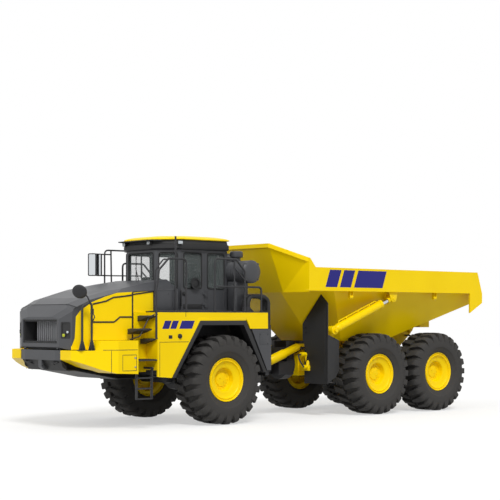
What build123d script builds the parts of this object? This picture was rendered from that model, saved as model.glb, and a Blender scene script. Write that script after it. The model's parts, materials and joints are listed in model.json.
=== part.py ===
# Articulated dump truck, 6x6, about 41 t payload: a front unit with cab and hood,
# a hitch that steers and oscillates, and a rear unit with a tipping bed.
# Millimetres. +X forward, +Y to the left, +Z up, origin on the ground at the
# centre of the length and width.
import os
from math import atan2, degrees, radians, tan

from build123d import *

os.makedirs("parts", exist_ok=True)

# Driving dimensions
front_axle_x = 2335
mid_axle_x = -2265
rear_axle_x = -4295
nose_x = 5855
tail_x = -5855
half_width = 1700
slip = 0.3  # running clearance of pins, bores and seats
gap = 5  # clearance between pieces that pass each other
skin = 30  # thickness of a body panel

cut_reach = nose_x - tail_x  # side of the bodies that cut a half space away
round_sides = 12  # facets of round parts that no pin or shaft turns in

# Wheels
tyre_radius = 937.5
tyre_width = 750
tread_depth = 44
tyre_sides = 24  # planar facets round a tyre and its rim
tyre_overhang = 20  # of the tyres past the bed rails
wheel_y = half_width + tyre_overhang - tyre_width / 2
flange_radius = 435
rim_width = 510
spindle_radius = 80
axle_beam_half = 130

# Front unit
rail_y = 400
rail_width = 100
rail_bottom = 1000
rail_top = 1290
deck_z = 2365
deck_thickness = 25
stair_rear_x = 4145
stair_front_x = 4615
side_top_z = 1780
side_front_x = 5360
body_y = half_width - 50
bumper_top_z = 1590
bumper_low_z = 1390
cab_front_x = 3350
cab_corner_x = cab_front_x - 330
cab_rear_x = cab_front_x - 1595
deck_rear_x = front_axle_x - 1135
cab_half_width = 950
screen_half_width = 520
cab_wall = 50
roof_z = 3980
eave_z = roof_z - 320
sill_z = deck_z + 455
hood_hinge_x = nose_x - 55
hood_hinge_z = 1640
hood_pin_radius = 20
hood_ear_y = 640
hood_skin = 25
cover_rear_x = 4434  # joint between the fixed side wall and the hood's side cover
rail_radius = 19
rail_line_y = body_y - 10  # handrails, outside the door's sweep

# Hitch
steer_x = 200
steer_pin_radius = 80
oscillate_z = 1150
spindle_face_x = -800
trunnion_radius = 160

# Rear unit
frame_half_width = 420
floor_z = 1700
tip_x = -4565
tip_z = 1950
tip_pin_radius = 60
rail_low_z = 2830
rail_high_z = 3350

# Cylinders: foot pin, head pin, both on the left side
steer_foot = (-905, 420, 1600)
steer_head = (170, 430, 1220)
hoist_y = half_width - 140
hoist_foot = (-850, hoist_y, 1955)
hoist_head = (-2725, hoist_y, 2680)


def side_plane(y):
    """Plane facing -Y whose local x is forward and local y is up."""
    return Plane.XZ.offset(-y)


def write(part, name):
    part.label = name
    export_step(part, f"parts/{name}.step")


def faceted_ring(profile, sides):
    """Ring about the Y axis from a profile of (offset along Y, radius), in flat facets."""
    half_turn = radians(180 / sides)
    with BuildPart() as wedge:
        with BuildSketch(Plane.YZ):
            Polygon(*profile, align=None)
        extrude(amount=tyre_radius, both=True)
        with BuildSketch(Plane.XZ):
            Polygon((0, 0), (2 * tyre_radius * tan(half_turn), 2 * tyre_radius),
                    (-2 * tyre_radius * tan(half_turn), 2 * tyre_radius), align=None)
        extrude(amount=tyre_width, both=True, mode=Mode.INTERSECT)
    with BuildPart() as ring:
        add([wedge.part.rotate(Axis.Y, k * 360 / sides) for k in range(sides)])
    return ring.part


def flat_plate(corners, push):
    """Plate over a flat ring of corners, pushed along a vector."""
    first, second, third = (Vector(*corner) for corner in corners[:3])
    flat = Plane(origin=first, x_dir=second - first, z_dir=(second - first).cross(third - first))
    local = [flat.to_local_coords(Vector(*corner)) for corner in corners]
    with BuildPart() as plate_part:
        with BuildSketch(flat):
            Polygon(*[(point.X, point.Y) for point in local], align=None)
        extrude(amount=Vector(*push).length, dir=Vector(*push))
    return plate_part.part


def tube(points, radius=rail_radius, sides=6):
    """Bent tube along a line of points, with mitred corners."""
    start, following = Vector(*points[0]), Vector(*points[1])
    with BuildPart() as tube_part:
        with BuildLine():
            Polyline(*points)
        with BuildSketch(Plane(origin=start, z_dir=following - start)):
            RegularPolygon(radius, sides)
        sweep(transition=Transition.RIGHT)
    return tube_part.part


# Wheels: one tyre and one rim at the origin, axis along Y, copied to six hubs

pitch = 360 / tyre_sides
tread_base = tyre_radius - tread_depth
# distance from the middle of the tyre, flat-to-centre radius
tyre_section = ((rim_width / 2, flange_radius + slip), (370, 620), (tyre_width / 2 - 3, 790), (315, tread_base))
lug_width = 130
lug_section = ((12, tread_base - 20), (12, tyre_radius), (322, tyre_radius), (tyre_width / 2, 815), (340, 790))

with BuildPart() as tyre:
    add(faceted_ring(tyre_section + tuple((-y, r) for y, r in reversed(tyre_section)), tyre_sides))
    # shoulder lugs, staggered left and right, one standing flat on the ground
    for side, turn in ((1, 0), (-1, pitch)):
        with BuildPart(mode=Mode.PRIVATE) as lug:
            with BuildSketch(Plane.YZ.offset(-lug_width / 2)):
                Polygon(*[(side * y, -r) for y, r in lug_section], align=None)
            extrude(amount=lug_width)
        add([lug.part.rotate(Axis.Y, turn + 2 * k * pitch) for k in range(tyre_sides // 2)])

dish_sides = 12
with BuildPart() as rim:
    half = rim_width / 2
    with BuildSketch(side_plane(-half)):
        RegularPolygon(flange_radius, tyre_sides, major_radius=False, rotation=pitch / 2 + 90)
    extrude(amount=-rim_width)
    # dished outer recess, plain inner recess, round the hub that stands in both
    add(faceted_ring(((90, 0), (90, 315), (half, 395), (half + gap, 395), (half + gap, 0)), dish_sides),
        mode=Mode.SUBTRACT)
    with BuildSketch(side_plane(-half)):
        RegularPolygon(330, dish_sides)
    extrude(amount=-(half - 30), mode=Mode.SUBTRACT)
    for y, depth, r in ((-120, 230, 200), (110, 95, 150)):
        with BuildSketch(side_plane(y)):
            RegularPolygon(r, dish_sides)
        extrude(amount=-depth)
    with BuildSketch(side_plane(-120)):
        Circle(spindle_radius + slip)
    extrude(amount=-180, mode=Mode.SUBTRACT)

axle_names = (("front", front_axle_x), ("mid", mid_axle_x), ("rear", rear_axle_x))
for axle_name, axle_x in axle_names:
    for side_name, side in (("left", 1), ("right", -1)):
        turned = 0 if side == 1 else 180
        hub = Location((axle_x, side * wheel_y, tyre_radius), (0, 0, turned))
        with BuildPart() as wheel_tyre:
            with Locations(hub):
                add(tyre.part)
        write(wheel_tyre.part, f"tyre_{axle_name}_{side_name}")
        with BuildPart() as wheel_rim:
            with Locations(hub):
                add(rim.part)
        write(wheel_rim.part, f"rim_{axle_name}_{side_name}")

# Axles: beam, differential, spindles that end inside the hubs

saddle_y = 620
saddle_top = tyre_radius + axle_beam_half + 40
for axle_name, axle_x in axle_names:
    with BuildPart() as axle:
        with BuildSketch(Plane.XZ):
            with Locations((axle_x, tyre_radius)):
                Rectangle(2 * axle_beam_half, 2 * axle_beam_half)
            chamfer(vertices(), length=40)
        extrude(amount=wheel_y - 125, both=True)
        with BuildSketch(Plane.XZ):
            with Locations((axle_x, tyre_radius)):
                Circle(spindle_radius)
        extrude(amount=wheel_y + 50, both=True)
        with BuildSketch(Plane.XZ):
            with Locations((axle_x, tyre_radius)):
                RegularPolygon(270, round_sides)
        extrude(amount=190, both=True)
        with BuildSketch(Plane.YZ.offset(axle_x)):
            with Locations((0, tyre_radius)):
                RegularPolygon(130, 8)
        extrude(amount=400)
        with Locations((axle_x, saddle_y, tyre_radius), (axle_x, -saddle_y, tyre_radius)):
            Box(220, 120, saddle_top - tyre_radius, align=(Align.CENTER, Align.CENTER, Align.MIN))
    write(axle.part, f"{axle_name}_axle")

# Front frame: two rails, cross members, rear bulkhead, hitch clevis and its pin

clevis_low = 860
clevis_high = 1640
plate = 80
web = 40
clevis_half = 420
bulkhead_half = 560
clevis_shoulder_x = 650
bulkhead_front_x = 1100
bulkhead_rear_x = bulkhead_front_x - 60
rail_front_x = 5500
hump_top = rail_top + 230
hump_low = saddle_top + 100
fender_top = deck_z - deck_thickness
outrigger_y = body_y - 70
front_rail_outline = (
    (bulkhead_front_x, rail_bottom), (1900, rail_bottom), (2050, hump_low), (2620, hump_low),
    (2770, rail_bottom), (4450, rail_bottom), (rail_front_x, 1200), (rail_front_x, rail_top),
    (2850, rail_top), (2700, hump_top), (1970, hump_top), (1820, rail_top), (bulkhead_front_x, rail_top),
)
with BuildPart() as front_frame:
    with BuildSketch(side_plane(rail_y - rail_width / 2)):
        Polygon(*front_rail_outline, align=None)
    extrude(amount=-rail_width)
    mirror(about=Plane.XZ)
    for x in (1500, 3000, 4000, 5400):
        with Locations((x, 0, rail_top - 45)):
            Box(120, 2 * rail_y, 80)
    # outriggers that carry the fenders and the tanks behind the wheels
    for x, z in ((1165, rail_bottom), (3900, rail_bottom + 70)):
        with Locations((x, 0, z)):
            Box(90, 2 * outrigger_y, 110, align=(Align.CENTER, Align.CENTER, Align.MIN))
    with Locations((bulkhead_rear_x, 0, clevis_low)):
        Box(bulkhead_front_x - bulkhead_rear_x, 2 * bulkhead_half, clevis_high - clevis_low,
            align=(Align.MIN, Align.CENTER, Align.MIN))
    for s in (1, -1):
        with Locations((clevis_shoulder_x, s * (clevis_half - web / 2), clevis_low)):
            Box(bulkhead_rear_x - clevis_shoulder_x, web, clevis_high - clevis_low,
                align=(Align.MIN, Align.CENTER, Align.MIN))
        # columns up to the deck
        with Locations((bulkhead_rear_x - 40, s * 470, clevis_high - 20)):
            Box(160, 160, fender_top - clevis_high + 20, align=(Align.CENTER, Align.CENTER, Align.MIN))
    with Locations((1250, 0, fender_top)):
        Box(740, 1100, 60, align=(Align.CENTER, Align.CENTER, Align.MAX))
    for z in (clevis_low, clevis_high - plate):
        with BuildSketch(Plane.XY.offset(z)):
            with BuildLine():
                Polyline((steer_x, -200), (clevis_shoulder_x, -clevis_half), (bulkhead_rear_x, -clevis_half),
                         (bulkhead_rear_x, clevis_half), (clevis_shoulder_x, clevis_half), (steer_x, 200))
                ThreePointArc((steer_x, 200), (steer_x - 200, 0), (steer_x, -200))
            make_face()
        extrude(amount=plate)
    with BuildSketch(Plane.XY.offset(clevis_low - 20)):
        with Locations((steer_x, 0)):
            Circle(steer_pin_radius)
    extrude(amount=clevis_high - clevis_low + 40)
    # lugs under the steering cylinders' rod eyes
    lug_top = steer_head[2] - 165
    with BuildSketch(Plane.XY.offset(lug_top - 40)):
        for s in (1, -1):
            with Locations((steer_head[0], s * steer_head[1])):
                RegularPolygon(85, round_sides)
            Polygon((steer_head[0], s * (steer_head[1] - 80)), (steer_head[0], s * (steer_head[1] + 85)),
                    (clevis_shoulder_x, s * 550), (bulkhead_rear_x, s * 550), (bulkhead_rear_x, s * 330),
                    (clevis_shoulder_x, s * 330), align=None)
    extrude(amount=40)
write(front_frame.part, "front_frame")

# Struts between the front axle and the frame's towers

with BuildPart() as front_struts:
    for s in (1, -1):
        # z of the foot, height, radius of rod and barrel
        for z, tall, r in ((saddle_top + slip, 750, 70), (1500, 500, 95)):
            with BuildSketch(Plane.XY.offset(z)):
                with Locations((front_axle_x, s * saddle_y)):
                    RegularPolygon(r, round_sides)
            extrude(amount=tall)
        with Locations((front_axle_x, s * 550, 2000)):
            Box(260, 420, 100, align=(Align.CENTER, Align.CENTER, Align.MIN))
        with Locations((front_axle_x, s * rail_y, hump_top)):
            Box(240, rail_width, 620, align=(Align.CENTER, Align.CENTER, Align.MIN))
write(front_struts.part, "front_struts")

# Belly guard under the engine, up to the bumper's skirt

guard_front_x = 5655
guard_rear_x = 3300
guard_plate = 20
with BuildPart() as belly_guard:
    with BuildSketch(Plane.XZ):
        Polygon((guard_front_x, 1200), (guard_front_x, 1200 - guard_plate), (rail_front_x, 1200 - guard_plate),
                (4450, rail_bottom - guard_plate), (guard_rear_x, rail_bottom - guard_plate),
                (guard_rear_x, rail_bottom), (4450, rail_bottom), (rail_front_x, 1200), align=None)
    extrude(amount=740, both=True)
write(belly_guard.part, "belly_guard")

# Engine: one plain block with sump and gearbox on the rails

engine_rear_x = 4000
engine_length = 1300
engine_width = 760
engine_height = 1000
sump_low_z = rail_bottom + 150
with BuildPart() as engine_block:
    with Locations((engine_rear_x, 0, rail_top)):
        Box(engine_length, engine_width, engine_height, align=(Align.MIN, Align.CENTER, Align.MIN))
        Box(engine_height, engine_width - 60, 0.6 * engine_height, align=(Align.MAX, Align.CENTER, Align.MIN))
    with Locations((engine_rear_x + 0.45 * engine_length, 0, sump_low_z)):
        Box(0.7 * engine_length, engine_width - 200, rail_top - sump_low_z,
            align=(Align.CENTER, Align.CENTER, Align.MIN))
write(engine_block.part, "engine_block")

# Front bumper, grey, with a skirt below it, a tow pin bracket and the ears of the hood hinge

bumper_half = 740
tow_pin_x = nose_x - 70
tow_pin_z = 1290
with BuildPart() as front_bumper:
    with BuildSketch(Plane.XY.offset(bumper_low_z)):
        Polygon((nose_x, 560), (nose_x - 20, bumper_half), (rail_front_x, bumper_half),
                (rail_front_x, -bumper_half), (nose_x - 20, -bumper_half), (nose_x, -560), align=None)
    extrude(amount=bumper_top_z - bumper_low_z)
    with Locations((rail_front_x, rail_y, 1200), (rail_front_x, -rail_y, 1200)):
        Box(160, rail_width, 200, align=(Align.MIN, Align.CENTER, Align.MIN))
    with BuildSketch(Plane.XZ):
        Polygon((nose_x - 45, bumper_low_z), (nose_x - 65, bumper_low_z), (guard_front_x, 1215),
                (guard_front_x + 5, 1195), align=None)
    extrude(amount=bumper_half - 40, both=True)
    with BuildSketch(side_plane(-60)):
        Polygon((5660, bumper_low_z), (nose_x - 5, bumper_low_z), (nose_x - 5, 1250), (tow_pin_x + 5, 1200),
                (5660, 1200), align=None)
    extrude(amount=-120)
    with BuildSketch(side_plane(-80)):
        with Locations((tow_pin_x, tow_pin_z)):
            Circle(35)
    extrude(amount=-160, mode=Mode.SUBTRACT)
    # ears and pins of the hood hinge
    for s in (1, -1):
        with BuildSketch(side_plane(min(s * hood_ear_y, s * (hood_ear_y + 40)))):
            Polygon((hood_hinge_x - 40, bumper_top_z), (hood_hinge_x - 30, hood_hinge_z + 10),
                    (hood_hinge_x - 8, hood_hinge_z + 24), (hood_hinge_x + 8, hood_hinge_z + 24),
                    (hood_hinge_x + 20, hood_hinge_z + 14), (hood_hinge_x + 24, hood_hinge_z),
                    (hood_hinge_x + 13, hood_hinge_z - 20), (hood_hinge_x, bumper_top_z), align=None)
        extrude(amount=-40)
        with BuildSketch(side_plane(min(s * hood_ear_y, s * (hood_ear_y - 80)))):
            with Locations((hood_hinge_x, hood_hinge_z)):
                Circle(hood_pin_radius)
        extrude(amount=-80)
write(front_bumper.part, "front_bumper")

# Hood form: flat crown, sloping shoulders and upright sides; grey top and nose, yellow side covers

hood_rear_x = cab_front_x + gap
nose_flat_y = 700  # half width of the flat nose, between its slanted corners
nose_side_y = 975
nose_sweep = 130  # how far the slanted corners run back
# station x, half width, height of the shoulder's outer edge, height of the crown
hood_sections = (
    (hood_rear_x, 1290, 2800, 3030),
    (3900, 1288, 2790, 2945),
    (4800, 1150, 2730, 2775),
    (5335, 1054, 2590, 2630),
    (5640, 998, 2440, 2495),
    (nose_x - nose_sweep, nose_side_y, 2355, 2402),
    (nose_x, nose_flat_y, 2205, 2250),
)
crown_share = 0.72  # of the half width that the flat crown takes
hollow_reach = 300  # the hollow runs out behind the hood
hollow_low_z = 1200  # and below it
nose_low_z = 1648
cover_low_z = bumper_top_z + 15
hood_foot = (
    (nose_x, nose_low_z), (hood_hinge_x - 40, cover_low_z), (side_front_x + 60 + gap, cover_low_z),
    (side_front_x + gap, side_top_z + gap), (hood_rear_x, side_top_z + gap),
)


def hood_line(x, column):
    """Value of a column of hood_sections at station x."""
    low, high = [pair for pair in zip(hood_sections, hood_sections[1:]) if x <= pair[1][0]][0]
    share = (x - low[0]) / (high[0] - low[0])
    return low[column] + share * (high[column] - low[column])


def hood_form(inset):
    """Convex body of the hood, set in by inset and then open below and behind."""
    behind = hollow_reach if inset else 0
    rear_x, rear_width, _, rear_crown = hood_sections[0]
    plan = [(rear_x - behind, rear_width)] + [(x, w) for x, w, edge, crown in hood_sections]
    top = [(rear_x - behind, rear_crown)] + [(x, crown) for x, w, edge, crown in hood_sections]
    foot = ((nose_x, hollow_low_z), (rear_x - behind, hollow_low_z)) if inset else hood_foot
    with BuildPart() as form:
        with BuildSketch(Plane.XY.offset(hollow_low_z / 2)):
            Polygon(*plan, *[(x, -w) for x, w in reversed(plan)], align=None)
            if inset:
                offset(amount=-inset, kind=Kind.INTERSECTION, mode=Mode.REPLACE)
        extrude(amount=roof_z)
        with BuildSketch(Plane.XZ):
            Polygon(*top, *foot, align=None)
            if inset:
                offset(amount=-inset, kind=Kind.INTERSECTION, mode=Mode.REPLACE)
        extrude(amount=2 * half_width, both=True, mode=Mode.INTERSECT)
        for (x, w, edge, crown), (next_x, next_w, next_edge, _) in zip(hood_sections, hood_sections[1:]):
            for s in (1, -1):
                outer = Vector(x, s * w, edge)
                along = Vector(next_x, s * next_w, next_edge) - outer
                across = Vector(x, s * crown_share * w, crown) - outer
                normal = across.cross(along).normalized() * s
                with BuildSketch(Plane(origin=outer - normal * inset, z_dir=normal)):
                    Rectangle(cut_reach, cut_reach)
                extrude(amount=half_width, mode=Mode.SUBTRACT)
    return form.part


with BuildPart() as hood_skin_form:
    add(hood_form(0))
    add(hood_form(hood_skin), mode=Mode.SUBTRACT)

# boundary between the grey top and the yellow sides, from the cab to the nose
colour_line = (
    (hood_rear_x, 2800), (3930, 2785), (4781, 2728), (5038, 2648), (5314, 2541), (5566, 2367), (5650, 2251),
    (5672, 1829), (5735, cover_low_z + 60),
)

grille_z = 1960
grille_width = 1260
grille_height = 470
lamp_x = nose_x - nose_sweep / 2
lamp_y = (nose_flat_y + nose_side_y) / 2
lamp_angle = degrees(atan2(nose_sweep, nose_side_y - nose_flat_y))
lamp_z = 1985
lamp_width = 190
lamp_height = 300
with BuildPart() as hood_shell:
    add(hood_skin_form.part)
    with BuildSketch(Plane.XZ):
        Polygon(*colour_line, (colour_line[-1][0], rail_bottom), (hood_rear_x, rail_bottom), align=None)
    extrude(amount=2 * half_width, both=True, mode=Mode.SUBTRACT)
    with Locations((nose_x, 0, grille_z)):
        Box(200, grille_width, grille_height, mode=Mode.SUBTRACT)
    for s in (1, -1):
        with Locations(Location((lamp_x, s * lamp_y, lamp_z), (0, 0, s * lamp_angle))):
            Box(200, lamp_width, lamp_height, mode=Mode.SUBTRACT)
    # lugs that turn on the hinge pins
    for s in (1, -1):
        near = s * (hood_ear_y - gap)
        with BuildSketch(side_plane(min(near, near - s * 60))):
            Polygon((hood_hinge_x - 28, hood_hinge_z - 28), (hood_hinge_x + 28, hood_hinge_z - 28),
                    (nose_x - hood_skin + 2, nose_low_z + 2), (nose_x - hood_skin + 2, nose_low_z + 40),
                    (hood_hinge_x - 28, nose_low_z + 40), align=None)
            with Locations((hood_hinge_x, hood_hinge_z)):
                Circle(hood_pin_radius + slip, mode=Mode.SUBTRACT)
        extrude(amount=-60)
write(hood_shell.part, "hood_shell")

with BuildPart() as hood_sides:
    add(hood_skin_form.part)
    with BuildSketch(Plane.XZ):
        Polygon(*colour_line, (colour_line[-1][0], rail_bottom), (hood_rear_x, rail_bottom), align=None)
        offset(amount=-slip, kind=Kind.INTERSECTION, mode=Mode.REPLACE)
    extrude(amount=2 * half_width, both=True, mode=Mode.INTERSECT)
    with Locations((cover_rear_x + gap, 0, rail_bottom)):
        Box(cut_reach, cut_reach, cut_reach, align=(Align.MAX, Align.CENTER, Align.MIN), mode=Mode.SUBTRACT)
write(hood_sides.part, "hood_sides")

slat_count = 15
slat_pitch = 73
with BuildPart() as grille:
    with Locations((nose_x - 45, 0, grille_z)):
        Box(60, grille_width - 2 * slip, grille_height - 2 * slip)
        Box(200, grille_width - 100, grille_height - 100, mode=Mode.SUBTRACT)
    # upright slats
    with Locations((nose_x - 45, 0, grille_z)):
        with GridLocations(0, slat_pitch, 1, slat_count):
            Box(40, 24, grille_height - 90)
write(grille.part, "grille")

# Side bodies ahead of the stairs, with the fixed wall between hood and stairs

corner_plan = ((nose_x - 8, bumper_half + gap), (nose_x - 20, 1100), (5635, 1300), (5085, body_y - 15),
               (stair_front_x, body_y), (stair_front_x, 980), (5300, 980), (5480, bumper_half + gap))
lower_edge = ((nose_x, 1410), (5385, 1220), (5105, 1140), (stair_front_x, 1120))
riser_y = 1262
riser_low = 1140
wall_rear_x = 3560
with BuildPart() as side_bodies:
    with BuildSketch(Plane.XY.offset(rail_bottom)):
        Polygon(*corner_plan, align=None)
    extrude(amount=side_top_z - rail_bottom)
    with BuildSketch(Plane.XZ):
        Polygon(*lower_edge, (stair_front_x, 900), (nose_x, 900), align=None)
    extrude(amount=2 * half_width, both=True, mode=Mode.SUBTRACT)
    with BuildSketch(Plane.XZ):
        Polygon((side_front_x, side_top_z), (side_front_x + 60, bumper_top_z), (nose_x + 50, bumper_top_z),
                (nose_x + 50, side_top_z), align=None)
    extrude(amount=2 * half_width, both=True, mode=Mode.SUBTRACT)
    # riser behind the treads
    with BuildSketch(side_plane(riser_y - skin)):
        Polygon((stair_rear_x, riser_low), (stair_front_x, riser_low), (stair_front_x, side_top_z),
                (cover_rear_x, side_top_z), (cover_rear_x, fender_top), (stair_rear_x, fender_top), align=None)
    extrude(amount=-skin)
    mirror(about=Plane.XZ)
write(side_bodies.part, "side_bodies")

with BuildPart() as side_walls:
    add(hood_skin_form.part)
    with BuildSketch(Plane.XZ):
        Polygon((wall_rear_x, deck_z), (stair_rear_x, deck_z), (stair_rear_x, fender_top + slip),
                (cover_rear_x, fender_top + slip), (cover_rear_x, hood_line(cover_rear_x, 2) - 20),
                (3930, 2785 - gap), (wall_rear_x, 2792 - gap), align=None)
    extrude(amount=2 * half_width, both=True, mode=Mode.INTERSECT)
write(side_walls.part, "side_walls")

# Fenders: outer skin with the wheel arch, front wall beside the stairs

arch = ((3795, 1020), (3085, 2240), (1820, 2240), (1235, 1070))
fender_rear = ((1700, 2000), (deck_rear_x, 2000))
fender_wall_y = riser_y
with BuildPart() as fenders:
    with BuildSketch(side_plane(body_y - skin)):
        Polygon((stair_rear_x, 1050), arch[0], arch[1], arch[2], *fender_rear, (deck_rear_x, fender_top),
                (stair_rear_x, fender_top), align=None)
    extrude(amount=-skin)
    with Locations((stair_rear_x, body_y, fender_top)):
        Box(skin, body_y - fender_wall_y, fender_top - 1180, align=(Align.MAX, Align.MAX, Align.MAX))
    mirror(about=Plane.XZ)
write(fenders.part, "fenders")

# Wheel arches: bent liners with a lip along the outer edge

liner = 25
with BuildPart() as wheel_arches:
    with BuildSketch(side_plane(965)):
        with BuildLine():
            outline = Polyline(*arch)
            offset(outline, amount=-liner, side=Side.RIGHT, kind=Kind.INTERSECTION)
        make_face()
    extrude(amount=-(body_y - skin - 965 - slip))
    mirror(about=Plane.XZ)
write(wheel_arches.part, "wheel_arches")

# Deck round the cab, open over the hood

deck_inner_y = 1295
with BuildPart() as deck:
    with BuildSketch(Plane.XY.offset(fender_top)):
        Polygon((deck_rear_x, body_y), (stair_rear_x, body_y), (stair_rear_x, deck_inner_y),
                (hood_rear_x, deck_inner_y), (hood_rear_x, -deck_inner_y), (stair_rear_x, -deck_inner_y),
                (stair_rear_x, -body_y), (deck_rear_x, -body_y), align=None)
    extrude(amount=deck_thickness)
write(deck.part, "deck")

# Stairs let into each side: treads on the riser above a hanging ladder

stair_x = (stair_rear_x + stair_front_x) / 2
stair_width = stair_front_x - stair_rear_x
tread_reach = body_y - riser_y - 60
treads = (1400, 1800, 2010, 2230)
strap_y = body_y - 90
strap_width = 70
ladder_low = 600
hanger_z = 1200
ladder_rungs = (620, 830, 1040)
ladder_x = (4225, 4600)
with BuildPart() as stairs:
    for z in treads:
        with Locations((stair_x, riser_y, z)):
            Box(stair_width, tread_reach, 35, align=(Align.CENTER, Align.MIN, Align.MAX))
    for x in ladder_x:
        with Locations((x, strap_y, ladder_low)):
            Box(20, strap_width, hanger_z + 60 - ladder_low, align=(Align.CENTER, Align.CENTER, Align.MIN))
        with Locations((x, riser_y, hanger_z)):
            Box(20, strap_y + strap_width / 2 - riser_y, 60, align=(Align.CENTER, Align.MIN, Align.MIN))
    for z in ladder_rungs:
        with Locations((sum(ladder_x) / 2, strap_y, z)):
            Box(ladder_x[1] - ladder_x[0], strap_width, 30)
    mirror(about=Plane.XZ)
write(stairs.part, "stairs")

# Cab: base tub, window frame, roof, glass, door

cab_plan = ((cab_front_x, screen_half_width), (cab_corner_x, cab_half_width), (cab_rear_x, cab_half_width))
cab_outline = cab_plan + tuple((x, -y) for x, y in reversed(cab_plan))
door_rear_x = cab_front_x - 960
door_front_x = cab_corner_x - 10
door_low = deck_z + 35
door_hinge_x = door_rear_x - 10
door_hinge_y = cab_half_width + 22
door_pin_radius = 10
door_hinges = (2500, 2720)
door_high = eave_z - 45
window_low = sill_z + 30
window_high = eave_z - 60
screen_width = 2 * screen_half_width - 160
rear_window_width = 2 * cab_half_width - 400
side_window = (cab_rear_x + 85, door_rear_x - 90)
right_window = (door_rear_x + 10, door_front_x - 60)
corner_window = 400

with BuildPart() as cab_base:
    with BuildSketch(Plane.XY.offset(deck_z)):
        Polygon(*cab_outline, align=None)
    extrude(amount=sill_z - deck_z)
    with BuildSketch(Plane.XY.offset(deck_z + 30)) as tub:
        Polygon(*cab_outline, align=None)
        offset(amount=-cab_wall, kind=Kind.INTERSECTION, mode=Mode.REPLACE)
    extrude(amount=sill_z - deck_z, mode=Mode.SUBTRACT)
    with Locations(((door_rear_x + door_front_x) / 2, cab_half_width, door_low - gap)):
        Box(door_front_x - door_rear_x + 2 * gap, 2 * cab_wall + 40, 600,
            align=(Align.CENTER, Align.CENTER, Align.MIN), mode=Mode.SUBTRACT)
    # door hinge brackets with their pins
    for z in door_hinges:
        with Locations((door_hinge_x, cab_half_width, z)):
            Box(50, door_hinge_y + 20 - cab_half_width, 40, align=(Align.MAX, Align.MIN, Align.MAX))
        with Locations((door_hinge_x, door_hinge_y, z - 40)):
            Cylinder(18, 40, align=(Align.CENTER, Align.CENTER, Align.MIN))
            Cylinder(door_pin_radius, 85, align=(Align.CENTER, Align.CENTER, Align.MIN))
write(cab_base.part, "cab_base")

with BuildPart() as cab_frame:
    with BuildSketch(Plane.XY.offset(sill_z)):
        Polygon(*cab_outline, align=None)
        offset(amount=-cab_wall, kind=Kind.INTERSECTION, mode=Mode.SUBTRACT)
    extrude(amount=eave_z - sill_z)
    with Locations(((door_rear_x + door_front_x) / 2, cab_half_width, sill_z - 10)):
        Box(door_front_x - door_rear_x + 2 * gap, 2 * cab_wall + 40, door_high + gap - sill_z + 10,
            align=(Align.CENTER, Align.CENTER, Align.MIN), mode=Mode.SUBTRACT)
    # windscreen and rear window, x and half width
    window_mid = (window_low + window_high) / 2
    window_tall = window_high - window_low
    with Locations((cab_front_x, 0, window_mid)):
        Box(4 * cab_wall, screen_width, window_tall, mode=Mode.SUBTRACT)
    with Locations((cab_rear_x, 0, window_mid)):
        Box(4 * cab_wall, rear_window_width, window_tall, mode=Mode.SUBTRACT)
    for s in (1, -1):
        with Locations((sum(side_window) / 2, s * cab_half_width, window_mid)):
            Box(side_window[1] - side_window[0], 4 * cab_wall, window_tall, mode=Mode.SUBTRACT)
    with Locations((sum(right_window) / 2, -cab_half_width, window_mid)):
        Box(right_window[1] - right_window[0], 4 * cab_wall, window_tall, mode=Mode.SUBTRACT)
    corner_x = (cab_front_x + cab_corner_x) / 2
    corner_y = (screen_half_width + cab_half_width) / 2
    corner_angle = degrees(atan2(cab_half_width - screen_half_width, cab_corner_x - cab_front_x))
    for s in (1, -1):
        with Locations(Location((corner_x, s * corner_y, window_mid), (0, 0, s * corner_angle))):
            Box(corner_window, 3 * cab_wall, window_tall, mode=Mode.SUBTRACT)
write(cab_frame.part, "cab_frame")

pane = 8
with BuildPart() as cab_glass:
    inset = cab_wall / 2
    tall = window_tall - 2 * slip
    with Locations((cab_front_x - inset, 0, window_mid)):
        Box(pane, screen_width - 2 * slip, tall)
    with Locations((cab_rear_x + inset, 0, window_mid)):
        Box(pane, rear_window_width - 2 * slip, tall)
    for s in (1, -1):
        with Locations((sum(side_window) / 2, s * (cab_half_width - inset), window_mid)):
            Box(side_window[1] - side_window[0] - 2 * slip, pane, tall)
    with Locations((sum(right_window) / 2, -(cab_half_width - inset), window_mid)):
        Box(right_window[1] - right_window[0] - 2 * slip, pane, tall)
    for s in (1, -1):
        with Locations(Location((corner_x, s * corner_y, window_mid), (0, 0, s * corner_angle))):
            with Locations((0, s * inset, 0)):
                Box(corner_window - 2 * slip, pane, tall)
write(cab_glass.part, "cab_glass")

# dark eave band with the visor, and the domed cap on it
eave_band = 110
roof_half = cab_half_width + 80
with BuildPart() as cab_fittings:
    with BuildSketch(Plane.XY.offset(eave_z)):
        Polygon((cab_front_x + 85, 480), (cab_corner_x + 40, roof_half), (cab_rear_x - 15, roof_half),
                (cab_rear_x - 15, -roof_half), (cab_corner_x + 40, -roof_half), (cab_front_x + 85, -480),
                align=None)
    extrude(amount=eave_band)
write(cab_fittings.part, "cab_fittings")

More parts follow.
